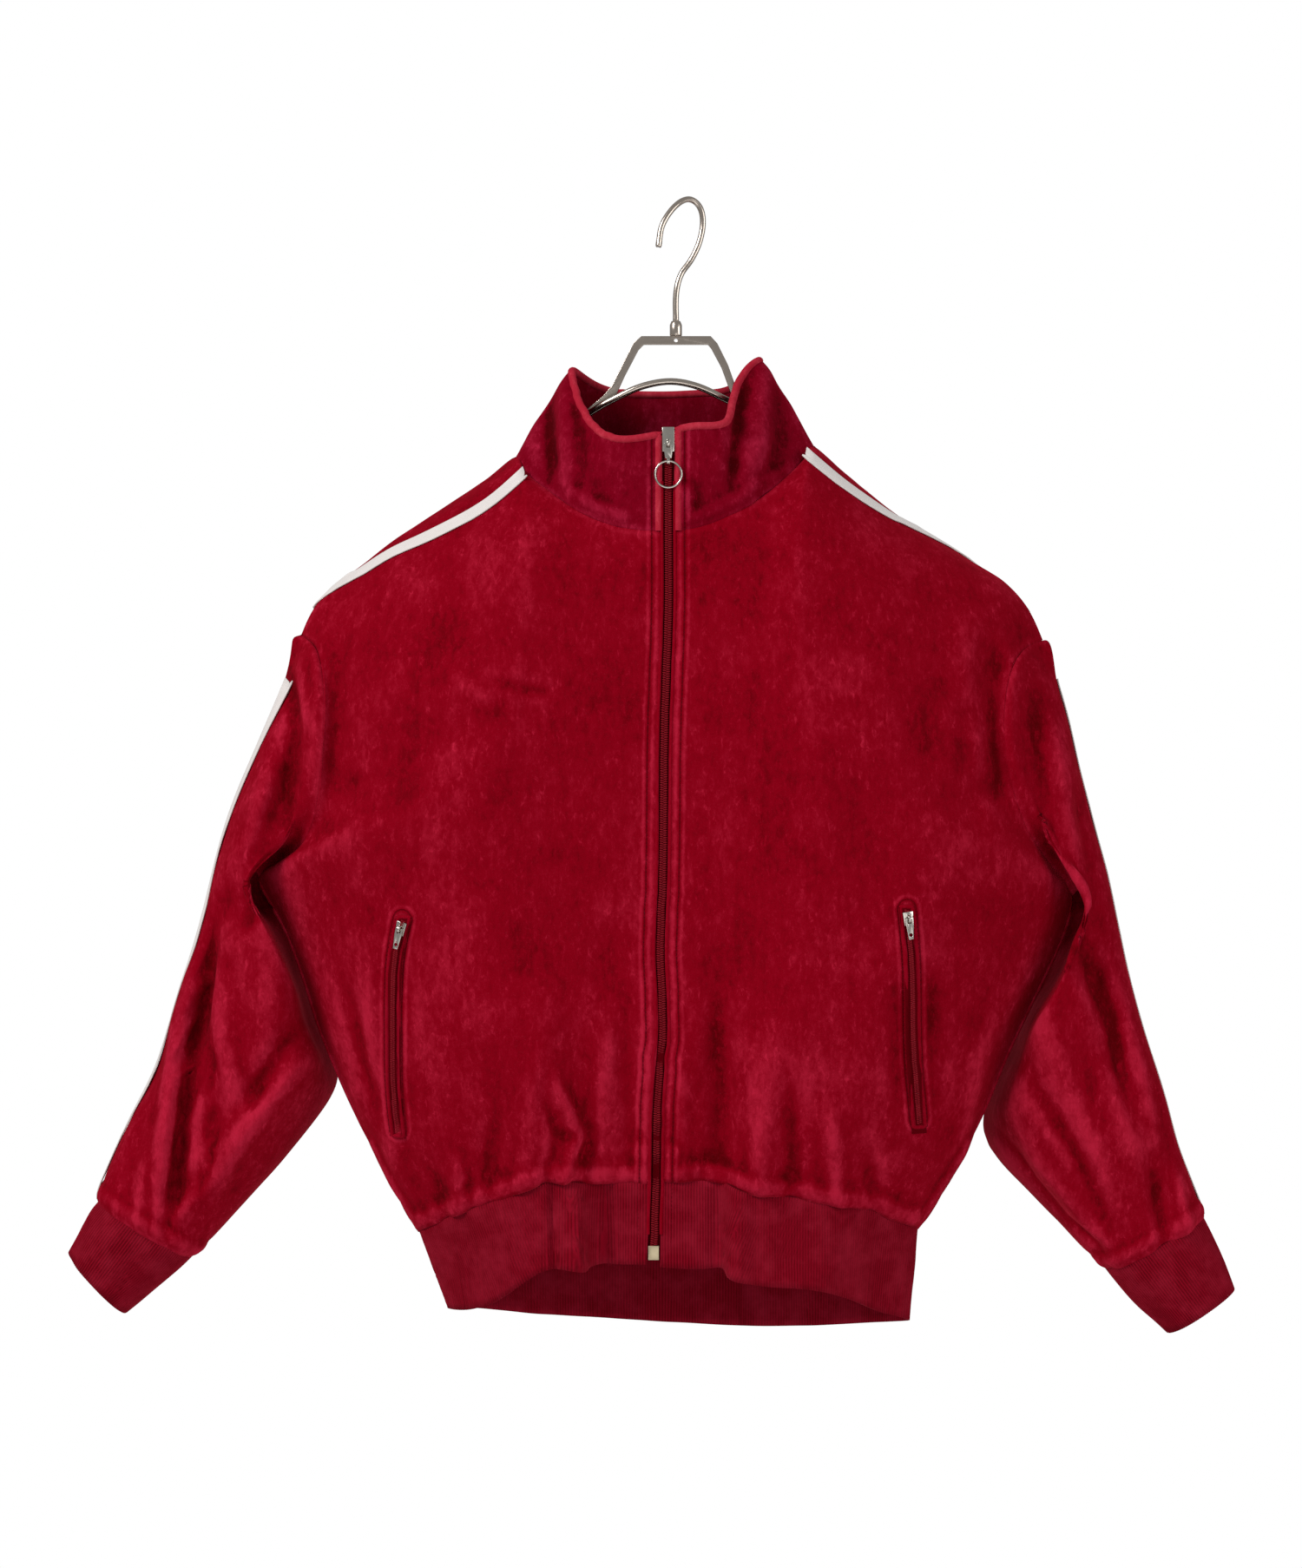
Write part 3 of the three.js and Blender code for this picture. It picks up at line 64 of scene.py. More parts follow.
def outer_face(node, wall, facing=None):
    """The outer face of a CAD wall, in four-sided cells: its rims and its inner face are taken off."""
    mesh = bmesh.new()
    mesh.from_mesh(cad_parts[node].data)
    bmesh.ops.remove_doubles(mesh, verts=mesh.verts, dist=5e-6)
    rims = set()
    for face in mesh.faces:
        lengths = sorted(edge.calc_length() for edge in face.edges)
        height = 2 * face.calc_area() / lengths[-1]
        if height < 1.6 * wall and lengths[0] < 2.2 * wall:
            rims.add(face)
    left = set(mesh.faces) - rims
    sheets = []
    while left:
        sheet = [left.pop()]
        for face in sheet:
            for edge in face.edges:
                for near in edge.link_faces:
                    if near in left:
                        left.remove(near)
                        sheet.append(near)
        sheets.append(sheet)
    sheets = sorted(sheets, key=len, reverse=True)[:2]
    if facing is None:
        outer = max(sheets, key=lambda sheet: sum(face.calc_area() for face in sheet))
    else:
        outer = max(sheets, key=lambda sheet: sum(
            face.normal.dot(Vector(facing)) * face.calc_area() for face in sheet))
    corners = {corner for face in outer for corner in face.verts}
    kept = set(outer) | {face for face in rims if corners.issuperset(face.verts)}
    bmesh.ops.delete(mesh, geom=[face for face in mesh.faces if face not in kept], context="FACES")
    for reach in (math.radians(80), math.pi):
        bmesh.ops.join_triangles(mesh, faces=[face for face in mesh.faces if len(face.verts) == 3],
                                 angle_face_threshold=reach, angle_shape_threshold=reach)
    return mesh


def as_object(mesh, name):
    """A bmesh as a new object at the origin."""
    data = bpy.data.meshes.new(name)
    mesh.to_mesh(data)
    mesh.free()
    made = bpy.data.objects.new(name, data)
    bpy.context.scene.collection.objects.link(made)
    return made


def bake_modifiers(piece):
    """The piece's modifiers become its mesh."""
    graph = bpy.context.evaluated_depsgraph_get()
    data = bpy.data.meshes.new_from_object(piece.evaluated_get(graph))
    piece.modifiers.clear()
    piece.data = data


def places_of(piece):
    """The piece's points and their outward directions, as two arrays in millimetres and units."""
    count = len(piece.data.vertices)
    places = np.empty(count * 3)
    piece.data.vertices.foreach_get("co", places)
    outs = np.empty(count * 3)
    piece.data.vertices.foreach_get("normal", outs)
    return places.reshape(-1, 3) * 1000, outs.reshape(-1, 3)


def move_out(piece, heights):
    """Moves each point out along its own direction, by millimetres."""
    places, outs = places_of(piece)
    moved = (places + outs * heights[:, None]) / 1000
    piece.data.vertices.foreach_set("co", moved.ravel())
    piece.data.update()


def refine(piece, levels):
    """Rounds the cells off and makes them finer, with every corner of the cells kept where it is."""
    wanted, _ = places_of(piece)
    cells = piece.data
    start = wanted
    for _ in range(5):
        cells.vertices.foreach_set("co", (start / 1000).ravel())
        piece.data = cells.copy()
        smooth = piece.modifiers.new("cells", "SUBSURF")
        smooth.levels = levels
        smooth.render_levels = levels
        smooth.boundary_smooth = "PRESERVE_CORNERS"
        bake_modifiers(piece)
        found, _ = places_of(piece)
        start = start + 0.9 * (wanted - found[:len(wanted)])


def near_line(x, z, line):
    """How far each point lies from a line of (x, z) points, and how far along it, from 0 to 1."""
    best = np.full(len(x), 1e9)
    share = np.zeros(len(x))
    steps = [math.dist(a, b) for a, b in zip(line, line[1:])]
    total = sum(steps)
    gone = 0.0
    for (ax, az), (bx, bz), step in zip(line, line[1:], steps):
        along = ((x - ax) * (bx - ax) + (z - az) * (bz - az)) / step ** 2
        along = np.clip(along, 0, 1)
        away = np.hypot(x - ax - along * (bx - ax), z - az - along * (bz - az))
        nearer = away < best
        best = np.where(nearer, away, best)
        share = np.where(nearer, (gone + along * step) / total, share)
        gone += step
    return best, share


def creases(piece, rows, side=None):
    """Heights for creases given as (line, width, height): a positive height is a ridge, a negative one
    a trough. Each is soft across, and fades out at both ends. side keeps those on one side, by Y."""
    places, outs = places_of(piece)
    x, z = places[:, 0], places[:, 2]
    heights = np.zeros(len(places))
    for line, width, height in rows:
        away, share = near_line(x, z, line)
        ends = np.clip(np.minimum(share, 1 - share) / 0.35, 0, 1)
        heights += height * np.exp(-((away / width) ** 2)) * ends * ends * (3 - 2 * ends)
    if side is not None:
        heights *= np.clip(0.5 + 1.6 * side * outs[:, 1], 0, 1)
    return heights


def rumple(piece, size, height, seed, stretch=(1, 1, 1)):
    """Uneven soft heights about the given size in millimetres, as handled cloth has."""
    places, _ = places_of(piece)
    scaled = places / size * np.array(stretch)
    shift = Vector((seed * 7.3, seed * 3.1, seed * 5.7))
    return np.array([height * noise.noise(Vector(p) + shift) for p in scaled])


def rim_distance(piece):
    """How far each point lies from the piece's own open edges, in millimetres."""
    mesh = bmesh.new()
    mesh.from_mesh(piece.data)
    edges = [edge for edge in mesh.edges if edge.is_boundary]
    tree = KDTree(sum(1 for _ in edges))
    for number, edge in enumerate(edges):
        tree.insert((edge.verts[0].co + edge.verts[1].co) / 2, number)
    tree.balance()
    away = np.array([tree.find(corner.co)[2] for corner in mesh.verts]) * 1000
    mesh.free()
    return away


def painted_shade_and_wear(piece, rounds=10, reach=0.55):
    """Writes the pile attribute, which is painted shade and painted highlight as well as wear: 0 in a hollow, painted
    dark as shade, and 1 on a ridge or beside a seam, painted pale as highlight and rubbed pile.
    """
    mesh = bmesh.new()
    mesh.from_mesh(piece.data)
    count = len(mesh.verts)
    pairs = np.array([[edge.verts[0].index, edge.verts[1].index] for edge in mesh.edges])
    mesh.free()
    places, outs = places_of(piece)
    links = np.bincount(pairs.ravel(), minlength=count)[:, None]

    def spread(values):
        total = np.zeros_like(values)
        np.add.at(total, pairs[:, 0], values[pairs[:, 1]])
        np.add.at(total, pairs[:, 1], values[pairs[:, 0]])
        return total / np.maximum(links, 1)

    soft = places.copy()
    for _ in range(rounds):
        soft = 0.4 * soft + 0.6 * spread(soft)
    proud = np.einsum("ij,ij->i", places - soft, outs)
    for _ in range(2):
        proud = 0.5 * proud + 0.5 * spread(proud[:, None])[:, 0]
    away = rim_distance(piece)
    proud *= np.clip(away / 9, 0, 1)
    rim = np.exp(-((away - 2.5) / 2.4) ** 2)
    # Painted shade and highlight: concave places lean to 0 and convex ones to 1, and a band just inside the rims is
    # made paler, as painted highlight and wear along the seams.
    shade_and_wear_level = np.clip(0.5 + reach * proud, 0.05, 0.95) + 0.16 * rim
    attribute = piece.data.attributes.new("pile", "FLOAT", "POINT")
    attribute.data.foreach_set("value", np.clip(shade_and_wear_level, 0, 1).astype(np.float32))


def stitch_field(piece, lines=()):
    """Writes how far each point lies outside the nearest line of stitching, in mm, where each row of
    lines holds the (x, z) line that the stitching runs round and how far from it the stitching lies."""
    places, _ = places_of(piece)
    field = np.full(len(places), 40.0)
    for line, reach in lines:
        away, _ = near_line(places[:, 0], places[:, 2], line)
        field = np.where(places[:, 1] < 0, np.minimum(field, away - reach), field)
    attribute = piece.data.attributes.new("stitching", "FLOAT", "POINT")
    attribute.data.foreach_set("value", field.astype(np.float32))


def seam_lip(piece, sewn, along=0.0016, inwards=0.0010):
    """Turns a narrow seam allowance in at the rims that are sewn, as sewn(place, way out) says."""
    mesh = bmesh.new()
    mesh.from_mesh(piece.data)
    mesh.normal_update()
    rims, ways, seen = [], {}, {}
    for edge in mesh.edges:
        if not edge.is_boundary:
            continue
        face = edge.link_faces[0]
        middle = (edge.verts[0].co + edge.verts[1].co) / 2
        way = (edge.verts[1].co - edge.verts[0].co).cross(face.normal).normalized()
        if way.dot(face.calc_center_median() - middle) > 0:
            way.negate()
        if sewn(middle * 1000, way):
            rims.append(edge)
            for corner in edge.verts:
                ways[corner] = ways.get(corner, Vector()) + way
                seen[corner] = corner.normal.copy()
    made = bmesh.ops.extrude_edge_only(mesh, edges=rims)["geom"]
    lips = [part for part in made if isinstance(part, bmesh.types.BMVert)]
    tree = KDTree(len(ways))
    corners = list(ways)
    for number, corner in enumerate(corners):
        tree.insert(corner.co, number)
    tree.balance()
    for lip in lips:
        corner = corners[tree.find(lip.co)[1]]
        lip.co += ways[corner].normalized() * along - seen[corner] * inwards
    mesh.to_mesh(piece.data)
    mesh.free()


def velour_material(name, mid=VELOUR_MID, dark=VELOUR_DARK, worn=VELOUR_WORN_AND_LIT):
    """Crushed cotton velour: a matt pile with a soft lit edge, streaked where it has been brushed, with painted shade
    in its hollows and stitch grooves and painted highlight on its ridges and beside its stitching.
    """
    made = bpy.data.materials.new(name)
    made.use_nodes = True
    nodes, links = made.node_tree.nodes, made.node_tree.links
    shader = nodes["Principled BSDF"]
    shader.inputs["Roughness"].default_value = 0.95
    shader.inputs["Specular IOR Level"].default_value = 0.02
    shader.inputs["Sheen Weight"].default_value = 0.22
    shader.inputs["Sheen Roughness"].default_value = 0.35
    shader.inputs["Sheen Tint"].default_value = (1.0, 0.045, 0.09, 1)
    place = nodes.new("ShaderNodeTexCoord")

    def cloud(size, detail, roughness, stretch=(1, 1, 1), warp=0.0):
        mapping = nodes.new("ShaderNodeMapping")
        mapping.inputs["Scale"].default_value = stretch
        links.new(place.outputs["Object"], mapping.inputs["Vector"])
        texture = nodes.new("ShaderNodeTexNoise")
        texture.inputs["Scale"].default_value = size
        texture.inputs["Detail"].default_value = detail
        texture.inputs["Roughness"].default_value = roughness
        texture.inputs["Distortion"].default_value = warp
        links.new(mapping.outputs["Vector"], texture.inputs["Vector"])
        return texture.outputs["Fac"]

    def blend(a, b, factor, kind="MIX", data="FLOAT"):
        mix = nodes.new("ShaderNodeMix")
        mix.data_type = data
        if data == "RGBA":
            mix.blend_type = kind
            first, second, result = mix.inputs[6], mix.inputs[7], mix.outputs[2]
        else:
            first, second, result = mix.inputs[2], mix.inputs[3], mix.outputs[0]
        for socket, value in ((mix.inputs[0], factor), (first, a), (second, b)):
            if isinstance(value, (int, float, tuple)):
                socket.default_value = value
            else:
                links.new(value, socket)
        return result

    def sharpen(value, low, high, out_low=0.0, out_high=1.0):
        ramp = nodes.new("ShaderNodeMapRange")
        ramp.interpolation_type = "SMOOTHSTEP"
        ramp.inputs["From Min"].default_value = low
        ramp.inputs["From Max"].default_value = high
        ramp.inputs["To Min"].default_value = out_low
        ramp.inputs["To Max"].default_value = out_high
        links.new(value, ramp.inputs["Value"])
        return ramp.outputs["Result"]

    def band(value, centre, width):
        """1 where value is at centre, down to 0 at width from it."""
        offset = nodes.new("ShaderNodeMath")
        offset.operation = "SUBTRACT"
        links.new(value, offset.inputs[0])
        offset.inputs[1].default_value = centre
        size = nodes.new("ShaderNodeMath")
        size.operation = "ABSOLUTE"
        links.new(offset.outputs[0], size.inputs[0])
        return sharpen(size.outputs[0], 0, width, 1, 0)

    def joined(a, b, operation="ADD"):
        both = nodes.new("ShaderNodeMath")
        both.operation = operation
        for socket, value in ((both.inputs[0], a), (both.inputs[1], b)):
            if isinstance(value, (int, float)):
                socket.default_value = value
            else:
                links.new(value, socket)
        return both.outputs[0]

    pile = nodes.new("ShaderNodeAttribute")
    pile.attribute_name = "pile"
    stitching = nodes.new("ShaderNodeAttribute")
    stitching.attribute_name = "stitching"
    line = stitching.outputs["Fac"]
    patches = cloud(13, 6, 0.66, warp=0.3)
    streaks = cloud(30, 5, 0.68, stretch=(1.7, 1.0, 0.3), warp=0.25)
    crushed = cloud(150, 4, 0.7, stretch=(1.2, 1.0, 0.7), warp=0.4)
    fuzz = cloud(900, 2, 0.6)
    apart = nodes.new("ShaderNodeSeparateXYZ")
    links.new(place.outputs["Object"], apart.inputs["Vector"])
    # A little paler towards the bottom of the jacket, by height alone.
    paler_low_down = sharpen(apart.outputs["Z"], -0.25, -0.66, -0.05, 0.09)
    brushed = blend(blend(patches, streaks, 0.4), crushed, 0.35)
    mottled = joined(sharpen(brushed, 0.3, 0.72), paler_low_down)
    # The pile attribute brings painted shade into the hollows and painted highlight onto the ridges.
    tone = blend(mottled, sharpen(pile.outputs["Fac"], 0.1, 0.95), 0.5)
    # Along a stitching line: painted shade in the groove itself, and a painted highlight in a band each side of it.
    groove = band(line, 0.0, 1.0)
    beside = joined(band(line, -3.2, 2.4), band(line, 2.8, 2.2))
    flecks = sharpen(cloud(240, 4, 0.75, stretch=(1.3, 1.0, 0.6), warp=0.5), 0.5, 0.78, 0, 0.3)
    tone = joined(joined(tone, flecks), joined(beside, 0.22, "MULTIPLY"))
    deep = blend(dark, mid, sharpen(tone, 0.12, 0.5), data="RGBA")
    lit = blend(deep, worn, sharpen(tone, 0.46, 1.0, 0, 0.8), data="RGBA")
    nap = blend(lit, (1, 0.2, 0.3, 1), sharpen(fuzz, 0.55, 0.95, 0, 0.045), data="RGBA", kind="SCREEN")
    # Painted shade: the stitch groove is darkened towards the dark tone.
    sewn = blend(nap, dark, joined(groove, 0.6, "MULTIPLY"), data="RGBA")
    links.new(sewn, shader.inputs["Base Color"])
    raised = joined(joined(fuzz, 0.25, "MULTIPLY"), joined(groove, -2.2, "MULTIPLY"))
    grain = nodes.new("ShaderNodeBump")
    grain.inputs["Strength"].default_value = 0.6
    grain.inputs["Distance"].default_value = 0.0005
    links.new(raised, grain.inputs["Height"])
    links.new(grain.outputs["Normal"], shader.inputs["Normal"])
    return made


velour = velour_material("crimson_velour")


surfaces = {}


def finish_cloth(piece, material, wall):
    """Gives a sheet its thickness, inwards, and keeps its outer face for what lies on it."""
    faces = [tuple(face.vertices) for face in piece.data.polygons]
    surfaces[piece.name] = BVHTree.FromPolygons([corner.co for corner in piece.data.vertices], faces)
    piece.data.materials.clear()
    piece.data.materials.append(material)
    piece.data.polygons.foreach_set("use_smooth", [True] * len(piece.data.polygons))
    thick = piece.modifiers.new("wall", "SOLIDIFY")
    thick.thickness = wall
    thick.offset = -1
    thick.use_even_offset = False
    bake_modifiers(piece)
    piece.data.polygons.foreach_set("use_smooth", [True] * len(piece.data.polygons))


CREASE_DEPTH = 1.7


def dress(node, wall, facing, levels, crease_rows=(), back_rows=(), seed=1, rumples=((85, 1.3), (30, 0.45)),
          puckered=None):
    """A cloth piece on its CAD wall's outer face, creased and rumpled, not yet thick. puckered says which
    of its places, in mm, lie by a seam that draws the cloth in."""
    piece = as_object(outer_face(node, wall, facing), f"{node}_cloth")
    refine(piece, levels)
    heights = np.zeros(len(piece.data.vertices))
    if crease_rows:
        heights += CREASE_DEPTH * creases(piece, crease_rows, side=-1)
    if back_rows:
        heights += CREASE_DEPTH * creases(piece, back_rows, side=1)
    away = rim_distance(piece)
    calm = np.clip(away / 22, 0, 1)
    for number, (size, height) in enumerate(rumples):
        heights += rumple(piece, size, height, seed + number) * (0.25 + 0.75 * calm)
    if puckered:
        places, _ = places_of(piece)
        near = np.array([puckered(place) for place in places])
        drawn = near * np.exp(-((away - 7) / 13) ** 2)
        heights += drawn * rumple(piece, 17, 1.6, seed + 50, stretch=(1.5, 1.5, 0.4))
        heights += np.clip(near * 1.25 - 0.25, 0, 1) * 2.2 * np.sin(math.pi * np.clip(away / 15, 0, 1))
    move_out(piece, heights)
    return piece


def slices_of(node, step=12):
    """The middle line of an upright CAD strip, from the top down: x, y at its front and z, in mm."""
    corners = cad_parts[node].data.vertices
    places = np.empty(len(corners) * 3)
    corners.foreach_get("co", places)
    places = places.reshape(-1, 3) * 1000
    rows = []
    top, low = places[:, 2].max(), places[:, 2].min()
    for z in np.arange(top - 1, low, -step):
        near = places[np.abs(places[:, 2] - z) < step]
        if len(near) > 3:
            rows.append(((near[:, 0].min() + near[:, 0].max()) / 2, near[:, 1].min(), z))
    return rows


ZIP_STITCH = 12.0
POCKET_STITCH = 6.6
zip_line = [(x, z) for x, _, z in slices_of("main_zip")]
pocket_lines = {side: [(x, z) for x, _, z in slices_of(f"pocket_zip_{side}")] for side in ("right", "left")}


# Each row of a crease table is a line of (x, z) places, how wide the crease is, and how far it stands
# proud (or lies below, where it is negative), all in mm.
FRONT_CREASES = {
    "right": [
        ([(-147, -358), (-124, -366), (-90, -371)], 4.5, -0.9),
        ([(-176, -352), (-150, -372), (-128, -378)], 6, 0.7),
        ([(-235, -300), (-190, -318), (-120, -330), (-70, -352)], 22, -1.6),
        ([(-246, -350), (-200, -372), (-140, -392)], 26, 1.5),
        ([(-46, -560), (-44, -640), (-40, -767)], 8, -2.4),
        ([(-60, -590), (-62, -660), (-66, -769)], 8, 1.8),
        ([(-98, -630), (-94, -658), (-81, -692), (-92, -726), (-110, -767)], 5, 3.4),
        ([(-108, -640), (-104, -664), (-94, -694), (-104, -728), (-120, -770)], 5, -2.2),
        ([(-163, -706), (-160, -724), (-157, -789)], 5, -1.3),
        ([(-172, -700), (-168, -724), (-166, -793)], 6, 1.2),
        ([(-110, -610), (-114, -668), (-122, -773)], 9, 1.8),
        ([(-137, -655), (-143, -700), (-150, -787)], 7, -1.6),
        ([(-196, -705), (-184, -730), (-170, -797)], 6, -1.6),
        ([(-236, -560), (-228, -640), (-206, -767)], 9, 1.6),
        ([(-258, -560), (-240, -640), (-222, -700)], 7, -1.6),
        ([(-206, -545), (-206, -620), (-205, -690)], 8, -1.0),
        ([(-224, -545), (-225, -620), (-223, -690)], 7, -1.0),
        ([(-180, -470), (-140, -520), (-118, -600)], 24, -1.5),
        ([(-262, -420), (-240, -470), (-228, -530)], 14, 1.2),
    ],
    "left": [
        ([(60, -300), (110, -330), (180, -340)], 26, -1.5),
        ([(90, -375), (88, -440), (104, -500)], 20, 1.5),
        ([(189, -360), (189, -407), (186, -455)], 14, 1.6),
        ([(214, -360), (212, -430), (226, -490)], 9, 1.6),
        ([(20, -560), (24, -640), (28, -769)], 8, -2.0),
        ([(-6, -600), (-4, -660), (-3, -767)], 6, 1.4),
        ([(46, -600), (50, -660), (55, -773)], 9, 2.2),
        ([(72, -630), (76, -690), (80, -781)], 8, -2.0),
        ([(100, -655), (106, -700), (114, -787)], 8, 1.8),
        ([(128, -690), (134, -720), (140, -793)], 6, -1.6),
        ([(176, -560), (180, -630), (176, -700)], 8, -1.0),
        ([(154, -560), (154, -630), (156, -690)], 8, -1.0),
        ([(238, -560), (214, -640), (196, -761)], 9, 1.6),
        ([(120, -420), (130, -500), (128, -580)], 24, -1.3),
    ],
}
fronts = {}
for side, seed in (("right", 3), ("left", 5)):
    piece = dress(f"front_{side}", VELOUR_WALL, (0, -1, 0), 3, FRONT_CREASES[side], seed=seed,
                  puckered=lambda place: 1.0 if place[2] < -700 else 0.12)
    painted_shade_and_wear(piece)
    stitch_field(piece, [(zip_line, ZIP_STITCH), (pocket_lines[side], POCKET_STITCH)])
    finish_cloth(piece, velour, VELOUR_WALL)
    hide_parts(f"front_{side}")
    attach(piece, "jacket")
    fronts[side] = piece

# Back: one panel of the same velour from armhole to armhole, cut on the fold and sewn to the fronts at
# the shoulders and sides. It hangs flatter than the fronts, with long soft hollows from the shoulders.
BACK_CREASES = [
    ([(-236, -372), (-222, -440), (-214, -520)], 9, -2.4),
    ([(-212, -380), (-196, -450), (-190, -530)], 11, 2.0),
    ([(218, -378), (204, -450), (196, -520)], 9, -2.2),
    ([(192, -392), (180, -460), (176, -540)], 12, 1.8),
    ([(-110, -240), (-40, -252), (40, -250), (100, -236)], 12, -1.4),
    ([(-150, -300), (-60, -322), (30, -318), (120, -306)], 18, 1.2),
    ([(-130, -540), (-112, -640), (-104, -765)], 12, -2.8),
    ([(-86, -600), (-80, -690), (-76, -770)], 11, 2.2),
    ([(-34, -560), (-30, -660), (-26, -775)], 12, -2.0),
    ([(14, -600), (12, -690), (10, -775)], 11, 2.0),
    ([(72, -530), (64, -640), (58, -768)], 12, -2.8),
    ([(112, -610), (106, -690), (100, -765)], 10, 2.0),
    ([(-200, -640), (-176, -700), (-160, -755)], 9, -2.0),
    ([(166, -640), (150, -700), (138, -755)], 9, -2.0),
    ([(-20, -420), (10, -480), (16, -540)], 24, 1.4),
]
back = dress("back", VELOUR_WALL, (0, 1, 0), 3, back_rows=BACK_CREASES, seed=9,
             puckered=lambda place: 1.0 if place[2] < -715 else 0.12)
seam_lip(back, lambda place, way: not (place[2] > -530 and abs(way.x) > 0.6))
painted_shade_and_wear(back)
stitch_field(back)
finish_cloth(back, velour, VELOUR_WALL)
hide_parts("back")
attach(back, "jacket")

# Sleeves: each is one piece of velour, seamed under the arm and set in a dropped armhole. They hang
# down and outwards, so the cloth breaks in long folds from the armhole to the cuff.
SLEEVE_FRONT_CREASES = {
    "right": [
        ([(-290, -327), (-287, -352), (-282, -384), (-277, -404)], 5, 1.6),
        ([(-292, -352), (-291, -410), (-297, -462)], 6, -2.4),
        ([(-307, -404), (-313, -443), (-322, -476), (-335, -502)], 7, 1.8),
        ([(-300, -470), (-316, -520), (-338, -560)], 9, -1.4),
        ([(-336, -500), (-346, -540), (-355, -585), (-365, -623), (-372, -668), (-377, -720), (-390, -800)], 6, -5.2),
        ([(-342, -510), (-354, -551), (-367, -582), (-377, -617), (-382, -657), (-387, -696), (-396, -790)], 7, 3.4),
        ([(-385, -600), (-402, -660), (-422, -765)], 9, -1.6),
        ([(-344, -480), (-347, -530), (-348, -580), (-344, -628), (-334, -665), (-322, -700)], 8, 3.0),
        ([(-318, -560), (-312, -620), (-316, -668)], 14, 1.4),
        ([(-262, -620), (-295, -652), (-322, -685), (-340, -712), (-372, -785)], 8, 3.2),
        ([(-356, -640), (-352, -680), (-352, -715), (-366, -780)], 9, -2.6),
        ([(-280, -600), (-300, -632), (-318, -662), (-330, -690)], 8, -2.4),
        ([(-400, -700), (-404, -730), (-412, -782)], 6, 1.4),
    ],
    "left": [
        ([(256, -345), (259, -400), (264, -452), (272, -498)], 7, -1.3),
        ([(272, -372), (277, -430), (285, -485), (302, -562)], 8, 2.4),
        ([(288, -430), (297, -480), (306, -520)], 7, -2.0),
        ([(284, -524), (300, -570), (317, -613), (336, -709)], 9, -3.6),
        ([(306, -540), (322, -600), (340, -668), (358, -765)], 8, 2.4),
        ([(254, -560), (262, -610), (284, -668), (326, -770)], 12, 2.6),
        ([(240, -604), (256, -660), (290, -712), (324, -792)], 8, -3.2),
        ([(222, -679), (258, -734), (282, -762), (305, -779), (326, -816)], 5, -3.4),
        ([(232, -668), (262, -716), (292, -752), (328, -802)], 6, 2.6),
        ([(360, -716), (366, -738), (375, -787)], 5, 2.2),
        ([(340, -700), (348, -730), (358, -798)], 6, -2.4),
    ],
}
SLEEVE_BACK_CREASES = {
    "right": [
        ([(-296, -350), (-300, -410), (-312, -470)], 6, -3.0),
        ([(-318, -400), (-330, -470), (-346, -530)], 9, 2.6),
        ([(-330, -520), (-348, -590), (-366, -680), (-390, -782)], 8, -4.4),
        ([(-300, -560), (-318, -630), (-348, -700), (-384, -790)], 9, 3.0),
        ([(-280, -620), (-306, -668), (-346, -726)], 7, -3.2),
        ([(-376, -620), (-396, -690), (-414, -778)], 7, 2.6),
    ],
    "left": [
        ([(270, -350), (276, -410), (284, -470)], 6, -3.0),
        ([(290, -400), (300, -470), (314, -530)], 9, 2.4),
        ([(300, -540), (314, -610), (334, -700), (356, -800)], 8, -4.0),
        ([(262, -570), (280, -640), (312, -720), (344, -810)], 9, 2.8),
        ([(244, -640), (270, -700), (312, -790)], 7, -3.0),
        ([(336, -620), (350, -690), (370, -778)], 7, 2.4),
    ],
}


def ease(piece, middle, reach, rounds=14):
    """Smooths the front of a cloth round an (x, z) place, in mm, where a kink is too sharp for velour."""
    mesh = bmesh.new()
    mesh.from_mesh(piece.data)
    near = [corner for corner in mesh.verts if corner.normal.y < 0.2
            and math.dist((corner.co.x * 1000, corner.co.z * 1000), middle) < reach]
    for _ in range(rounds):
        bmesh.ops.smooth_vert(mesh, verts=near, factor=0.5, use_axis_x=True, use_axis_y=True, use_axis_z=True)
    mesh.to_mesh(piece.data)
    mesh.free()


for side, seed, cuff_at in (("right", 13, (-405, -769)), ("left", 17, (351, -780))):
    piece = dress(f"sleeve_{side}", VELOUR_WALL, None, 3, SLEEVE_FRONT_CREASES[side],
                  SLEEVE_BACK_CREASES[side], seed=seed,
                  puckered=lambda place: 1.1 if math.dist((place[0], place[2]), cuff_at) < 60 else 0.15)
    if side == "right":
        ease(piece, (-367, -646), 17)
    seam_lip(piece, lambda place, way: True)
    painted_shade_and_wear(piece)
    stitch_field(piece)
    finish_cloth(piece, velour, VELOUR_WALL)
    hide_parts(f"sleeve_{side}")
    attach(piece, "jacket")

# Collar: a stand collar of two layers of velour, pile out on both, turned at the top edge. It is sewn
# on round the neck, and its front ends are sewn to the zip.
COLLAR_WALL = 0.0028
COLLAR_CREASES = [
    ([(-106, -130), (-105, -176), (-98, -225)], 7, -3.4),
    ([(-88, -120), (-89, -165), (-86, -225)], 7, 3.2),
    ([(-102, -196), (-84, -222), (-62, -236)], 9, 1.2),
    ([(-130, -180), (-108, -212), (-80, -240)], 7, -1.2),
    ([(44, -120), (39, -170), (31, -235)], 6, -3.2),
    ([(58, -100), (56, -158), (50, -225)], 9, 2.8),
    ([(80, -150), (68, -190), (46, -240)], 8, -1.4),
    ([(-70, -194), (-40, -206), (-18, -208)], 10, 0.7),
    ([(-8, -200), (14, -206), (36, -200)], 10, 0.7),
]


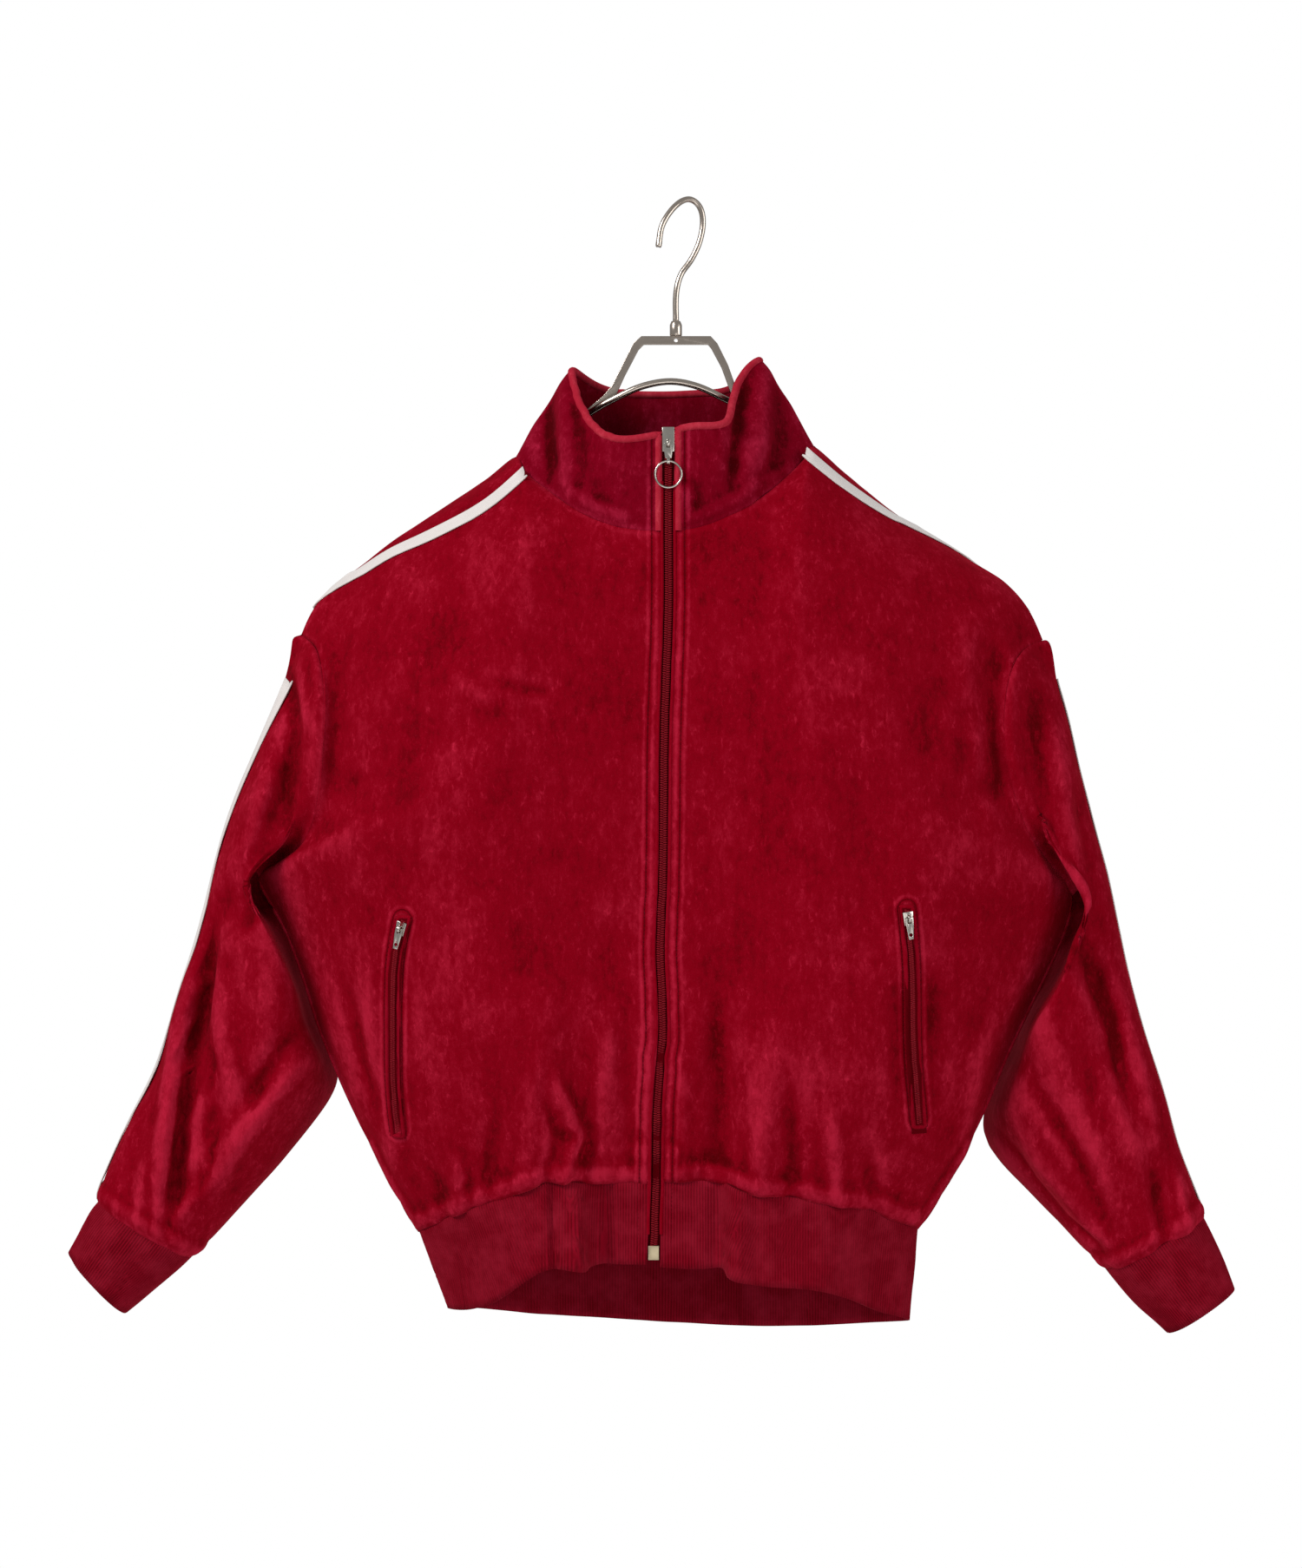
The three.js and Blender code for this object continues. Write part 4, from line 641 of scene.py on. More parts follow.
def free_edge(piece, sunk):
    """The piece's rim but for its lower, sewn side, in order, each place sunk a little into the cloth."""
    mesh = bmesh.new()
    mesh.from_mesh(piece.data)
    mesh.normal_update()
    rim, inward = set(), {}
    for edge in mesh.edges:
        if edge.is_boundary:
            face = edge.link_faces[0]
            way = (face.calc_center_median() - (edge.verts[0].co + edge.verts[1].co) / 2).normalized()
            if way.z < 0.4:
                rim.add(edge)
                for corner in edge.verts:
                    inward[corner] = inward.get(corner, Vector()) + way
    ends = [corner for corner in inward if sum(edge in rim for edge in corner.link_edges) == 1]
    corner, places, passed = ends[0], [], set()
    while True:
        places.append(corner.co + inward[corner].normalized() * sunk - corner.normal * COLLAR_WALL / 2)
        onward = [edge for edge in corner.link_edges if edge in rim and edge not in passed]
        if not onward:
            break
        passed.add(onward[0])
        corner = onward[0].other_vert(corner)
    mesh.free()
    return places


# The collar's velour is a darker copy of the body's velour: painted shade.
shaded_collar_velour = velour_material("shaded_collar_velour", dark=(0.056, 0.0, 0.0012, 1), mid=(0.165, 0.0001, 0.0075, 1),
                                worn=(0.37, 0.012, 0.042, 1))
collar = dress("collar", COLLAR_WALL, None, 3, COLLAR_CREASES, seed=21, rumples=((42, 0.9),),
               puckered=lambda place: np.clip((0.25 * abs(place[0]) - 214 - place[2]) / 10, 0, 1)
               * np.clip((abs(place[0] + 26) - 8) / 12, 0, 1) * np.clip((96 - abs(place[0])) / 20, 0, 1))
collar_edge = free_edge(collar, 0.0021)
seam_lip(collar, lambda place, way: way.z < -0.5)
painted_shade_and_wear(collar)
stitch_field(collar, [(zip_line, ZIP_STITCH)])
finish_cloth(collar, shaded_collar_velour, COLLAR_WALL)
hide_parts("collar")
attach(collar, "jacket")

# Collar edge: the two layers turn over a soft roll at the top, painted pale both for rubbed pile and as painted
# highlight. The roll runs on down the two front ends beside the zip.
ROLL_RADIUS = 0.0029


def roll_along(name, places, radius, closed=False):
    """A soft round roll of cloth along a line of places, in metres."""
    curve = bpy.data.curves.new(name, "CURVE")
    curve.dimensions = "3D"
    curve.bevel_depth = radius
    curve.bevel_resolution = 4
    path = curve.splines.new("POLY")
    path.points.add(len(places) - 1)
    for point, place in zip(path.points, places):
        point.co = (*place, 1)
    path.use_cyclic_u = closed
    drawn = bpy.data.objects.new(name, curve)
    bpy.context.scene.collection.objects.link(drawn)
    data = bpy.data.meshes.new_from_object(drawn.evaluated_get(bpy.context.evaluated_depsgraph_get()))
    bpy.data.objects.remove(drawn)
    made = bpy.data.objects.new(name, data)
    bpy.context.scene.collection.objects.link(made)
    made.data.polygons.foreach_set("use_smooth", [True] * len(made.data.polygons))
    stitch_field(made)
    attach(made, "jacket")
    return made


rolled = roll_along("collar_roll", collar_edge, ROLL_RADIUS)
rolled.data.materials.append(velour_material("collar_roll_worn_and_lit_velour", mid=(0.34, 0.012, 0.028, 1),
                                             dark=(0.20, 0.002, 0.012, 1), worn=(0.50, 0.045, 0.07, 1)))
# The roll's pile value is held at 0.7, towards the pale end: painted highlight as well as wear.
attribute = rolled.data.attributes.new("pile", "FLOAT", "POINT")
attribute.data.foreach_set("value", [0.7] * len(rolled.data.vertices))

# Ribbed bands: the hem and the cuffs are double rib knit, folded at the free edge. The ribs run the
# short way of each band, and the knit draws the velour in where it is sewn on.
RIB_WALL = 0.0026
RIB_PITCH = 2.1
RIB_HEIGHT = 0.42


def lay_out_ribs(piece, up, cuts):
    """Cuts a band finely the long way and gives each point's rise for ribs that run the short way. They
    are counted along its sewn rim, the one that faces up."""
    mesh = bmesh.new()
    mesh.from_mesh(piece.data)
    up = Vector(up).normalized()
    flat_x = up.orthogonal().normalized()
    flat_y = up.cross(flat_x)
    rim = set()
    for edge in mesh.edges:
        if edge.is_boundary:
            middle = (edge.verts[0].co + edge.verts[1].co) / 2
            if (middle - edge.link_faces[0].calc_center_median()).normalized().dot(up) > 0.5:
                rim.add(edge)
    corners = {corner for edge in rim for corner in edge.verts}
    ends = [corner for corner in corners if sum(edge in rim for edge in corner.link_edges) == 1]
    corner = (ends or list(corners))[0]
    chain, passed = [corner.co.copy()], set()
    while True:
        onward = [edge for edge in corner.link_edges if edge in rim and edge not in passed]
        if not onward:
            break
        passed.add(onward[0])
        corner = onward[0].other_vert(corner)
        chain.append(corner.co.copy())
    gone, spots, ways = 0.0, [], []
    for a, b in zip(chain, chain[1:]):
        step = (b - a).length * 1000
        parts = max(1, round(step / 0.3))
        for part in range(parts):
            spots.append(a.lerp(b, part / parts))
            ways.append(gone + step * part / parts)
        gone += step
    tree = KDTree(len(spots))
    for number, spot in enumerate(spots):
        tree.insert((spot.dot(flat_x), spot.dot(flat_y), 0), number)
    tree.balance()

    def way_of(place):
        return ways[tree.find((place.dot(flat_x), place.dot(flat_y), 0))[1]]

    round_way = {corner: way_of(corner.co) for corner in mesh.verts}
    around = [edge for edge in mesh.edges
              if abs(round_way[edge.verts[0]] - round_way[edge.verts[1]]) > 600 * edge.calc_length()]
    bmesh.ops.subdivide_edges(mesh, edges=around, cuts=cuts, use_grid_fill=True)
    mesh.normal_update()
    mesh.verts.index_update()
    turns = 2 * math.pi * round(gone / RIB_PITCH) / gone
    waves = [math.cos(turns * way_of(corner.co)) for corner in mesh.verts]
    rises = np.array([list(corner.normal * RIB_HEIGHT * 0.0005 * wave)
                      for corner, wave in zip(mesh.verts, waves)])
    mesh.to_mesh(piece.data)
    mesh.free()
    # The rib value, 1 on a wale and 0 between, sets painted shade between the wales.
    attribute = piece.data.attributes.new("rib", "FLOAT", "POINT")
    attribute.data.foreach_set("value", [0.5 + 0.5 * wave for wave in waves])
    return rises


def rib_material(name):
    """Cotton rib knit: fine upright wales with painted shade, a deeper red, between them, a little felted where it is
    worn.
    """
    made = bpy.data.materials.new(name)
    made.use_nodes = True
    nodes, links = made.node_tree.nodes, made.node_tree.links
    shader = nodes["Principled BSDF"]
    shader.inputs["Roughness"].default_value = 0.92
    shader.inputs["Specular IOR Level"].default_value = 0.05
    shader.inputs["Sheen Weight"].default_value = 0.15
    shader.inputs["Sheen Roughness"].default_value = 0.4
    shader.inputs["Sheen Tint"].default_value = (1.0, 0.05, 0.1, 1)
    rib = nodes.new("ShaderNodeAttribute")
    rib.attribute_name = "rib"
    place = nodes.new("ShaderNodeTexCoord")
    worn = nodes.new("ShaderNodeTexNoise")
    worn.inputs["Scale"].default_value = 45
    worn.inputs["Detail"].default_value = 6
    worn.inputs["Roughness"].default_value = 0.65
    links.new(place.outputs["Object"], worn.inputs["Vector"])
    felt = nodes.new("ShaderNodeTexNoise")
    felt.inputs["Scale"].default_value = 900
    felt.inputs["Detail"].default_value = 3
    links.new(place.outputs["Object"], felt.inputs["Vector"])

    def mixed(a, b, factor):
        mix = nodes.new("ShaderNodeMix")
        mix.data_type = "RGBA"
        for socket, value in ((mix.inputs[0], factor), (mix.inputs[6], a), (mix.inputs[7], b)):
            if isinstance(value, tuple):
                socket.default_value = value
            else:
                links.new(value, socket)
        return mix.outputs[2]

    # Painted shade: the colour is darker between the wales and lighter on them.
    ribs_with_painted_shade = mixed((0.10, 0.0003, 0.0036, 1), (0.215, 0.0012, 0.0105, 1), rib.outputs["Fac"])
    soft = nodes.new("ShaderNodeMapRange")
    soft.inputs["From Min"].default_value = 0.42
    soft.inputs["From Max"].default_value = 0.75
    soft.inputs["To Max"].default_value = 0.6
    links.new(worn.outputs["Fac"], soft.inputs["Value"])
    links.new(mixed(ribs_with_painted_shade, (0.30, 0.010, 0.028, 1), soft.outputs["Result"]), shader.inputs["Base Color"])
    grain = nodes.new("ShaderNodeBump")
    grain.inputs["Strength"].default_value = 0.5
    grain.inputs["Distance"].default_value = 0.0003
    links.new(felt.outputs["Fac"], grain.inputs["Height"])
    links.new(grain.outputs["Normal"], shader.inputs["Normal"])
    return made


BAND_CREASES = {
    "waistband": [
        ([(-84, -700), (-83, -760), (-83, -830)], 8, 4.2),
        ([(-100, -700), (-98, -760), (-97, -830)], 4, -3.0),
        ([(-62, -700), (-60, -760), (-60, -830)], 7, -2.8),
        ([(-132, -730), (-128, -780), (-122, -820)], 13, 1.6),
        ([(-166, -744), (-160, -790), (-150, -830)], 10, -1.2),
        ([(22, -700), (21, -760), (20, -830)], 6, -2.6),
        ([(37, -700), (38, -764), (38, -830)], 8, 3.2),
        ([(72, -728), (74, -776), (76, -812)], 12, -1.3),
        ([(104, -736), (104, -780), (104, -820)], 12, 1.5),
        ([(140, -750), (138, -790), (134, -836)], 9, -1.2),
    ],
    "cuff_right": [
        ([(-447, -744), (-456, -770), (-458, -800)], 5, -1.6),
        ([(-420, -752), (-436, -780), (-446, -806)], 9, 1.2),
        ([(-398, -764), (-412, -792), (-430, -822)], 8, -0.8),
    ],
    "cuff_left": [
        ([(326, -800), (346, -824), (364, -850)], 6, -1.0),
        ([(350, -786), (366, -808), (384, -836)], 9, 1.2),
        ([(378, -768), (392, -790), (404, -818)], 7, -0.8),
    ],
}
BAND_BACK_CREASES = {
    "waistband": [
        ([(-120, -762), (-118, -800), (-114, -846)], 12, -1.8),
        ([(-70, -764), (-68, -800), (-66, -850)], 12, 1.5),
        ([(-20, -766), (-18, -806), (-16, -852)], 12, -1.6),
        ([(44, -764), (44, -806), (44, -852)], 13, 1.6),
        ([(98, -762), (98, -806), (96, -850)], 11, -1.8),
    ],
}
rib_knit = rib_material("crimson_rib")
for node, flat, up, cuts in (("waistband", (0.95, 0.062), (0, 0, 1), 7),
                             ("cuff_right", (0.2, 0.065), (0.6, 0, 0.8), 7),
                             ("cuff_left", (0.2, 0.065), (-0.6, 0, 0.8), 7)):
    piece = dress(node, RIB_WALL, None, 2, BAND_CREASES.get(node, ()), BAND_BACK_CREASES.get(node, ()), seed=27,
                  rumples=((34, 0.7),))
    rises = lay_out_ribs(piece, up, cuts)
    seam_lip(piece, lambda place, way: way.dot(Vector(up)) > 0.4)
    finish_cloth(piece, rib_knit, RIB_WALL)
    places, _ = places_of(piece)
    places[:len(rises)] += rises * 1000
    piece.data.vertices.foreach_set("co", (places / 1000).ravel())
    piece.data.update()
    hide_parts(node)
    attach(piece, "jacket")

# Stripe tapes: off-white woven tape with a sunk line along it, stitched flat over each shoulder from the
# collar, and down the outside of each sleeve to the cuff.
TAPE_WALL = 0.0009
TAPE_LIFT = 0.0006


def lay_on(piece, names, lift):
    """Lays a sheet on the named cloths, a little proud of them. Where none lies under it, it goes on as its
    neighbours do."""
    places, outs = places_of(piece)
    places /= 1000
    sunk, known = np.zeros(len(places)), np.zeros(len(places))
    for number, (place, out) in enumerate(zip(places, outs)):
        place, out = Vector(place), Vector(out)
        hits = [surfaces[name].ray_cast(place + out * 0.02, -out, 0.04)[3] for name in names]
        hits = [away for away in hits if away is not None]
        if hits:
            sunk[number], known[number] = 0.02 - min(hits), 1
    ends = np.array([edge.vertices[:] for edge in piece.data.edges])
    for _ in range(14):
        total, count = sunk * known, known.copy()
        for one, other in ((0, 1), (1, 0)):
            np.add.at(total, ends[:, one], (sunk * known)[ends[:, other]])
            np.add.at(count, ends[:, one], known[ends[:, other]])
        sunk = np.where(count > 0, total / np.maximum(count, 1), sunk)
        known = np.minimum(count, 1)
    piece.data.vertices.foreach_set("co", (places + outs * (sunk + lift)[:, None]).ravel())
    piece.data.update()


def cloth_material(name, colour, weave, roughness=0.8, streak=0.12, sheen=0.3, shine=0.2):
    """Plain woven or knitted cloth with a fine weave and slight uneven soiling."""
    made = bpy.data.materials.new(name)
    made.use_nodes = True
    nodes, links = made.node_tree.nodes, made.node_tree.links
    shader = nodes["Principled BSDF"]
    shader.inputs["Roughness"].default_value = roughness
    shader.inputs["Specular IOR Level"].default_value = shine
    shader.inputs["Sheen Weight"].default_value = sheen
    shader.inputs["Sheen Roughness"].default_value = 0.5
    place = nodes.new("ShaderNodeTexCoord")
    cloud = nodes.new("ShaderNodeTexNoise")
    cloud.inputs["Scale"].default_value = 60
    cloud.inputs["Detail"].default_value = 4
    links.new(place.outputs["Object"], cloud.inputs["Vector"])
    tint = nodes.new("ShaderNodeMix")
    tint.data_type = "RGBA"
    tint.inputs[6].default_value = tuple(channel * (1 - streak) for channel in colour[:3]) + (1,)
    tint.inputs[7].default_value = colour
    links.new(cloud.outputs["Fac"], tint.inputs[0])
    links.new(tint.outputs[2], shader.inputs["Base Color"])
    threads = nodes.new("ShaderNodeTexWave")
    threads.bands_direction = "DIAGONAL"
    threads.inputs["Scale"].default_value = weave
    threads.inputs["Distortion"].default_value = 0.6
    threads.inputs["Detail"].default_value = 1
    links.new(place.outputs["Object"], threads.inputs["Vector"])
    grain = nodes.new("ShaderNodeBump")
    grain.inputs["Strength"].default_value = 0.4
    grain.inputs["Distance"].default_value = 0.0003
    links.new(threads.outputs["Fac"], grain.inputs["Height"])
    links.new(grain.outputs["Normal"], shader.inputs["Normal"])
    return made


tape_cloth = cloth_material("stripe_tape", (0.72, 0.665, 0.64, 1), 420)
for side in ("right", "left"):
    for place, carriers in (("shoulder", [f"front_{side}_cloth", "back_cloth"]),
                            ("sleeve", [f"sleeve_{side}_cloth"])):
        node = f"{place}_stripe_{side}"
        tape = as_object(outer_face(node, TAPE_WALL), f"{node}_tape")
        refine(tape, 2)
        lay_on(tape, carriers, TAPE_LIFT + TAPE_WALL)
        tape.data.materials.append(tape_cloth)
        thick = tape.modifiers.new("wall", "SOLIDIFY")
        thick.thickness = TAPE_WALL
        thick.offset = -1
        bake_modifiers(tape)
        tape.data.polygons.foreach_set("use_smooth", [True] * len(tape.data.polygons))
        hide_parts(node)
        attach(tape, "jacket")

# Metal hardware and zips: the sliders, pulls and ring are nickel-plated zinc castings, and the zips have
# nylon coils woven to tonal tape.
def metal_material(name, colour, roughness):
    """Plated metal, a little uneven where it has been handled."""
    made = bpy.data.materials.new(name)
    made.use_nodes = True
    nodes, links = made.node_tree.nodes, made.node_tree.links
    shader = nodes["Principled BSDF"]
    shader.inputs["Base Color"].default_value = colour
    shader.inputs["Metallic"].default_value = 1
    place = nodes.new("ShaderNodeTexCoord")
    cloud = nodes.new("ShaderNodeTexNoise")
    cloud.inputs["Scale"].default_value = 240
    cloud.inputs["Detail"].default_value = 5
    links.new(place.outputs["Object"], cloud.inputs["Vector"])
    spread = nodes.new("ShaderNodeMapRange")
    spread.inputs["To Min"].default_value = roughness * 0.7
    spread.inputs["To Max"].default_value = roughness * 1.4
    links.new(cloud.outputs["Fac"], spread.inputs["Value"])
    links.new(spread.outputs["Result"], shader.inputs["Roughness"])
    return made


def cast_from(node, name, material, body, edge, rounds=2):
    """A hard piece with its CAD node's form and its edges rounded."""
    mesh = bmesh.new()
    mesh.from_mesh(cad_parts[node].data)
    bmesh.ops.remove_doubles(mesh, verts=mesh.verts, dist=5e-6)
    bmesh.ops.dissolve_limit(mesh, angle_limit=math.radians(1), verts=mesh.verts, edges=mesh.edges)
    sharp = [corner for corner in mesh.edges
             if len(corner.link_faces) == 2 and corner.calc_face_angle() > math.radians(34)]
    bmesh.ops.bevel(mesh, geom=sharp, offset=edge, offset_type="OFFSET", affect="EDGES", segments=rounds,
                    profile=0.5, material=-1, clamp_overlap=True)
    made = as_object(mesh, name)
    made.data.polygons.foreach_set("use_smooth", [True] * len(made.data.polygons))
    made.data.set_sharp_from_angle(angle=math.radians(40))
    made.data.materials.append(material)
    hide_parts(node)
    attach(made, body)
    return made


nickel = metal_material("nickel_plate", (0.52, 0.49, 0.44, 1), 0.2)
stop_brass = metal_material("worn_brass", (0.46, 0.38, 0.25, 1), 0.34)
for node, body, edge in (("main_slider", "jacket", 0.0003), ("main_pull", "main_pull_body", 0.0002),
                         ("pocket_slider_right", "jacket", 0.00025), ("pocket_slider_left", "jacket", 0.00025),
                         ("pocket_pull_right", "pocket_pull_right_body", 0.0002),
                         ("pocket_pull_left", "pocket_pull_left_body", 0.0002)):
    cast_from(node, f"{node}_cast", nickel, body, edge)
cast_from("zip_box", "zip_box_cast", stop_brass, "jacket", 0.0003)

RING_RADIUS = 0.0097
RING_WIRE = 0.0016
ring_low, ring_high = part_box("pull_ring")
ring_centre = (Vector(ring_low) + Vector(ring_high)) / 2
ring = bmesh.new()
bmesh.ops.create_circle(ring, segments=14, radius=RING_WIRE / 2, matrix=Matrix.Translation((RING_RADIUS, 0, 0)))
bmesh.ops.spin(ring, geom=ring.verts[:] + ring.edges[:], cent=(0, 0, 0), axis=(0, 1, 0),
               angle=2 * math.pi, steps=72, use_merge=True)
bmesh.ops.remove_doubles(ring, verts=ring.verts, dist=1e-6)
bmesh.ops.recalc_face_normals(ring, faces=ring.faces)
bmesh.ops.translate(ring, verts=ring.verts, vec=ring_centre)
ring = as_object(ring, "pull_ring_wire")
ring.data.polygons.foreach_set("use_smooth", [True] * len(ring.data.polygons))
ring.data.materials.append(nickel)
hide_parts("pull_ring")
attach(ring, "ring_body")

zip_cloth = cloth_material("zip_tape", (0.105, 0.0002, 0.003, 1), 900, roughness=0.95, sheen=0, shine=0.02)
coil_nylon = cloth_material("coil_nylon", (0.20, 0.0012, 0.008, 1), 900, roughness=0.5, sheen=0, shine=0.12)
TOOTH_PITCH = 1.7
TOOTH_LENGTH = 3.0
TOOTH_WIDTH = 0.95


def joined_capsules(name, rows, material):
    """One mesh of small rounded bars, each given as its middle, its two ends' way and its size, in mm."""
    mesh = bmesh.new()
    for start in range(0, len(rows), 30):
        few = bmesh.new()
        for middle, way, length, width, height in rows[start:start + 30]:
            turn = Vector(way).to_track_quat("X", "Z").to_matrix().to_4x4()
            size = Matrix.Diagonal((length / 2000, width / 2000, height / 2000, 1))
            place = Matrix.Translation(Vector(middle) / 1000) @ turn @ size
            bmesh.ops.create_uvsphere(few, u_segments=6, v_segments=4, radius=1, matrix=place)
        part = bpy.data.meshes.new("part")
        few.to_mesh(part)
        few.free()
        mesh.from_mesh(part)
        bpy.data.meshes.remove(part)
    made = as_object(mesh, name)
    made.data.polygons.foreach_set("use_smooth", [True] * len(made.data.polygons))
    made.data.materials.append(material)
    return made


def coil_of(rows, name, out, pitch, reach):
    """Two rows of coil teeth down a zip's middle line, each tooth slanted and set half a pitch on."""
    rising = sorted((z, x, y) for x, y, z in rows)
    zs, xs, ys = (np.array(column) for column in zip(*rising))
    teeth = []
    for number, z in enumerate(np.arange(zs[0] + 2, zs[-1] - 1, pitch / 2)):
        side = 1 if number % 2 else -1
        x, y = np.interp(z, zs, xs), np.interp(z, zs, ys)
        lean = np.interp(z + 5, zs, xs) - np.interp(z - 5, zs, xs)
        way = Vector((1, 0, 0.16 * side - lean / 10))
        teeth.append(((x + side * reach * 0.42, y - out, z), way, reach * 1.25, TOOTH_WIDTH, 1.3))
    return joined_capsules(name, teeth, coil_nylon)


main_rows = slices_of("main_zip")
main_tape = cast_from("main_zip", "main_zip_tape", zip_cloth, "jacket", 0.0002)
coil = coil_of(main_rows, "main_zip_coil", 0.6, TOOTH_PITCH, TOOTH_LENGTH)
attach(coil, "jacket")

# Pockets: each has a coil zip set in a narrow opening between two turned velour lips, with a line of
# stitching round it. The bag behind doesn't show.
LIP_RADIUS = 1.7
LIP_REACH = 4.2


def surface_at(names, x, z):
    """The front of the named cloths at an (x, z) place, in mm."""
    start = Vector((x / 1000, -0.3, z / 1000))
    hits = [surfaces[name].ray_cast(start, Vector((0, 1, 0)))[0] for name in names]
    hits = [hit for hit in hits if hit is not None]
    return min(hits, key=lambda hit: hit.y).y * 1000 if hits else None


def ring_round(line, reach, step):
    """A closed loop of (x, z) places at one distance round an upright line, with squared ends."""
    rising = sorted((z, x) for x, z in line)
    zs, xs = [row[0] for row in rising], [row[1] for row in rising]
    low, high = zs[0], zs[-1]
    loop = []
    for z in np.arange(low, high, step):
        loop.append((np.interp(z, zs, xs) + reach, z))
    turns = max(6, round(math.pi * reach / step))
    squared = 0.4

    def bent(share):
        return math.copysign(abs(share) ** squared, share)

    for turn in range(turns + 1):
        angle = math.pi * turn / turns
        loop.append((xs[-1] + reach * bent(math.cos(angle)), high + reach * 0.3 * bent(math.sin(angle))))
    for z in np.arange(high, low, -step):
        loop.append((np.interp(z, zs, xs) - reach, z))
    for turn in range(turns + 1):
        angle = math.pi + math.pi * turn / turns
        loop.append((xs[0] + reach * bent(math.cos(angle)), low + reach * 0.3 * bent(math.sin(angle))))
    return loop


def stitches_along(line, names, name, pitch=3.0, length=2.1, width=0.55):
    """Machine stitches in thread, end to end along a line of (x, z) places on the named cloths."""
    rows, left = [], 0.0
    for (ax, az), (bx, bz) in zip(line, line[1:]):
        step = math.dist((ax, az), (bx, bz))
        while step > 0 and left < step:
            x, z = ax + (bx - ax) * left / step, az + (bz - az) * left / step
            y = surface_at(names, x, z)
            if y is not None:
                rows.append(((x, y + 0.05, z), Vector((bx - ax, 0, bz - az)), length, width, 0.5))
            left += pitch
        left -= step
    made = joined_capsules(name, rows, thread)
    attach(made, "jacket")
    return made


thread = cloth_material("sewing_thread", (0.13, 0.0006, 0.005, 1), 1500, roughness=0.7, sheen=0, shine=0.05)
# A lighter copy of the velour for the pocket lips and the turned zip edges: painted highlight on the rolls.
lit_lip_velour = velour_material("lit_lip_velour", dark=VELOUR_MID, mid=(0.24, 0.002, 0.012, 1))
for side in ("right", "left"):
    node = f"pocket_zip_{side}"
    rows = slices_of(node, 8)
    tape = cast_from(node, f"pocket_{side}_tape", zip_cloth, "jacket", 0.0002)
    coil = coil_of(rows, f"pocket_{side}_coil", 0.0, 1.4, 1.9)
    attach(coil, "jacket")
    line = [(x, z) for x, _, z in rows]
    lip = roll_along(f"pocket_{side}_lip", [
        (x / 1000, surface_at([f"front_{side}_cloth"], x, z) / 1000 - 0.0006, z / 1000)
        for x, z in ring_round(line, LIP_REACH, 4)], LIP_RADIUS / 1000, closed=True)
    lip.data.materials.append(lit_lip_velour)
    stitches_along(ring_round(line, POCKET_STITCH, 3), [f"front_{side}_cloth"], f"pocket_{side}_stitches")

# Zip edges: the velour is turned in along the front zip in a narrow roll, and topstitched beside it from
# the collar to the hem, once on each side.
EDGE_RADIUS = 1.3
EDGE_REACH = 4.8
for side, sign in (("right", -1), ("left", 1)):
    names = [f"front_{side}_cloth", "collar_cloth", "waistband_cloth"]
    turned = []
    for x, z in zip_line[1:-1]:
        y = surface_at(names, x + sign * (EDGE_REACH + 1.6), z)
        if y is not None:
            turned.append(((x + sign * EDGE_REACH) / 1000, (y + 0.5) / 1000, z / 1000))
    edge = roll_along(f"zip_{side}_edge", turned, EDGE_RADIUS / 1000)
    edge.data.materials.append(lit_lip_velour)
    stitches_along([(x + sign * ZIP_STITCH, z) for x, z in zip_line], names, f"zip_{side}_stitches")

# Hanger: a chromed steel hook turned in a ferrule, a flat pressed yoke, and one bent wire for both arms.
chrome = metal_material("chromed_steel", (0.52, 0.45, 0.39, 1), 0.2)


def wire_from(node, name, swell):
    """A bent wire with its CAD node's route, made round."""
    mesh = bmesh.new()
    mesh.from_mesh(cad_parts[node].data)
    bmesh.ops.remove_doubles(mesh, verts=mesh.verts, dist=5e-6)
    bmesh.ops.join_triangles(mesh, faces=mesh.faces, angle_face_threshold=math.radians(40),
                             angle_shape_threshold=math.radians(60))
    made = as_object(mesh, name)
    refine(made, 2)
    move_out(made, np.full(len(made.data.vertices), swell))
    made.data.polygons.foreach_set("use_smooth", [True] * len(made.data.polygons))
    made.data.materials.append(chrome)
    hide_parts(node)
    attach(made, "jacket")


wire_from("hanger_hook", "hook_wire", 0.25)
wire_from("hanger_arms", "arm_wire", 0.28)
cast_from("hanger_ferrule", "ferrule", chrome, "jacket", 0.0004)
cast_from("hanger_yoke", "yoke", chrome, "jacket", 0.0008, rounds=3)

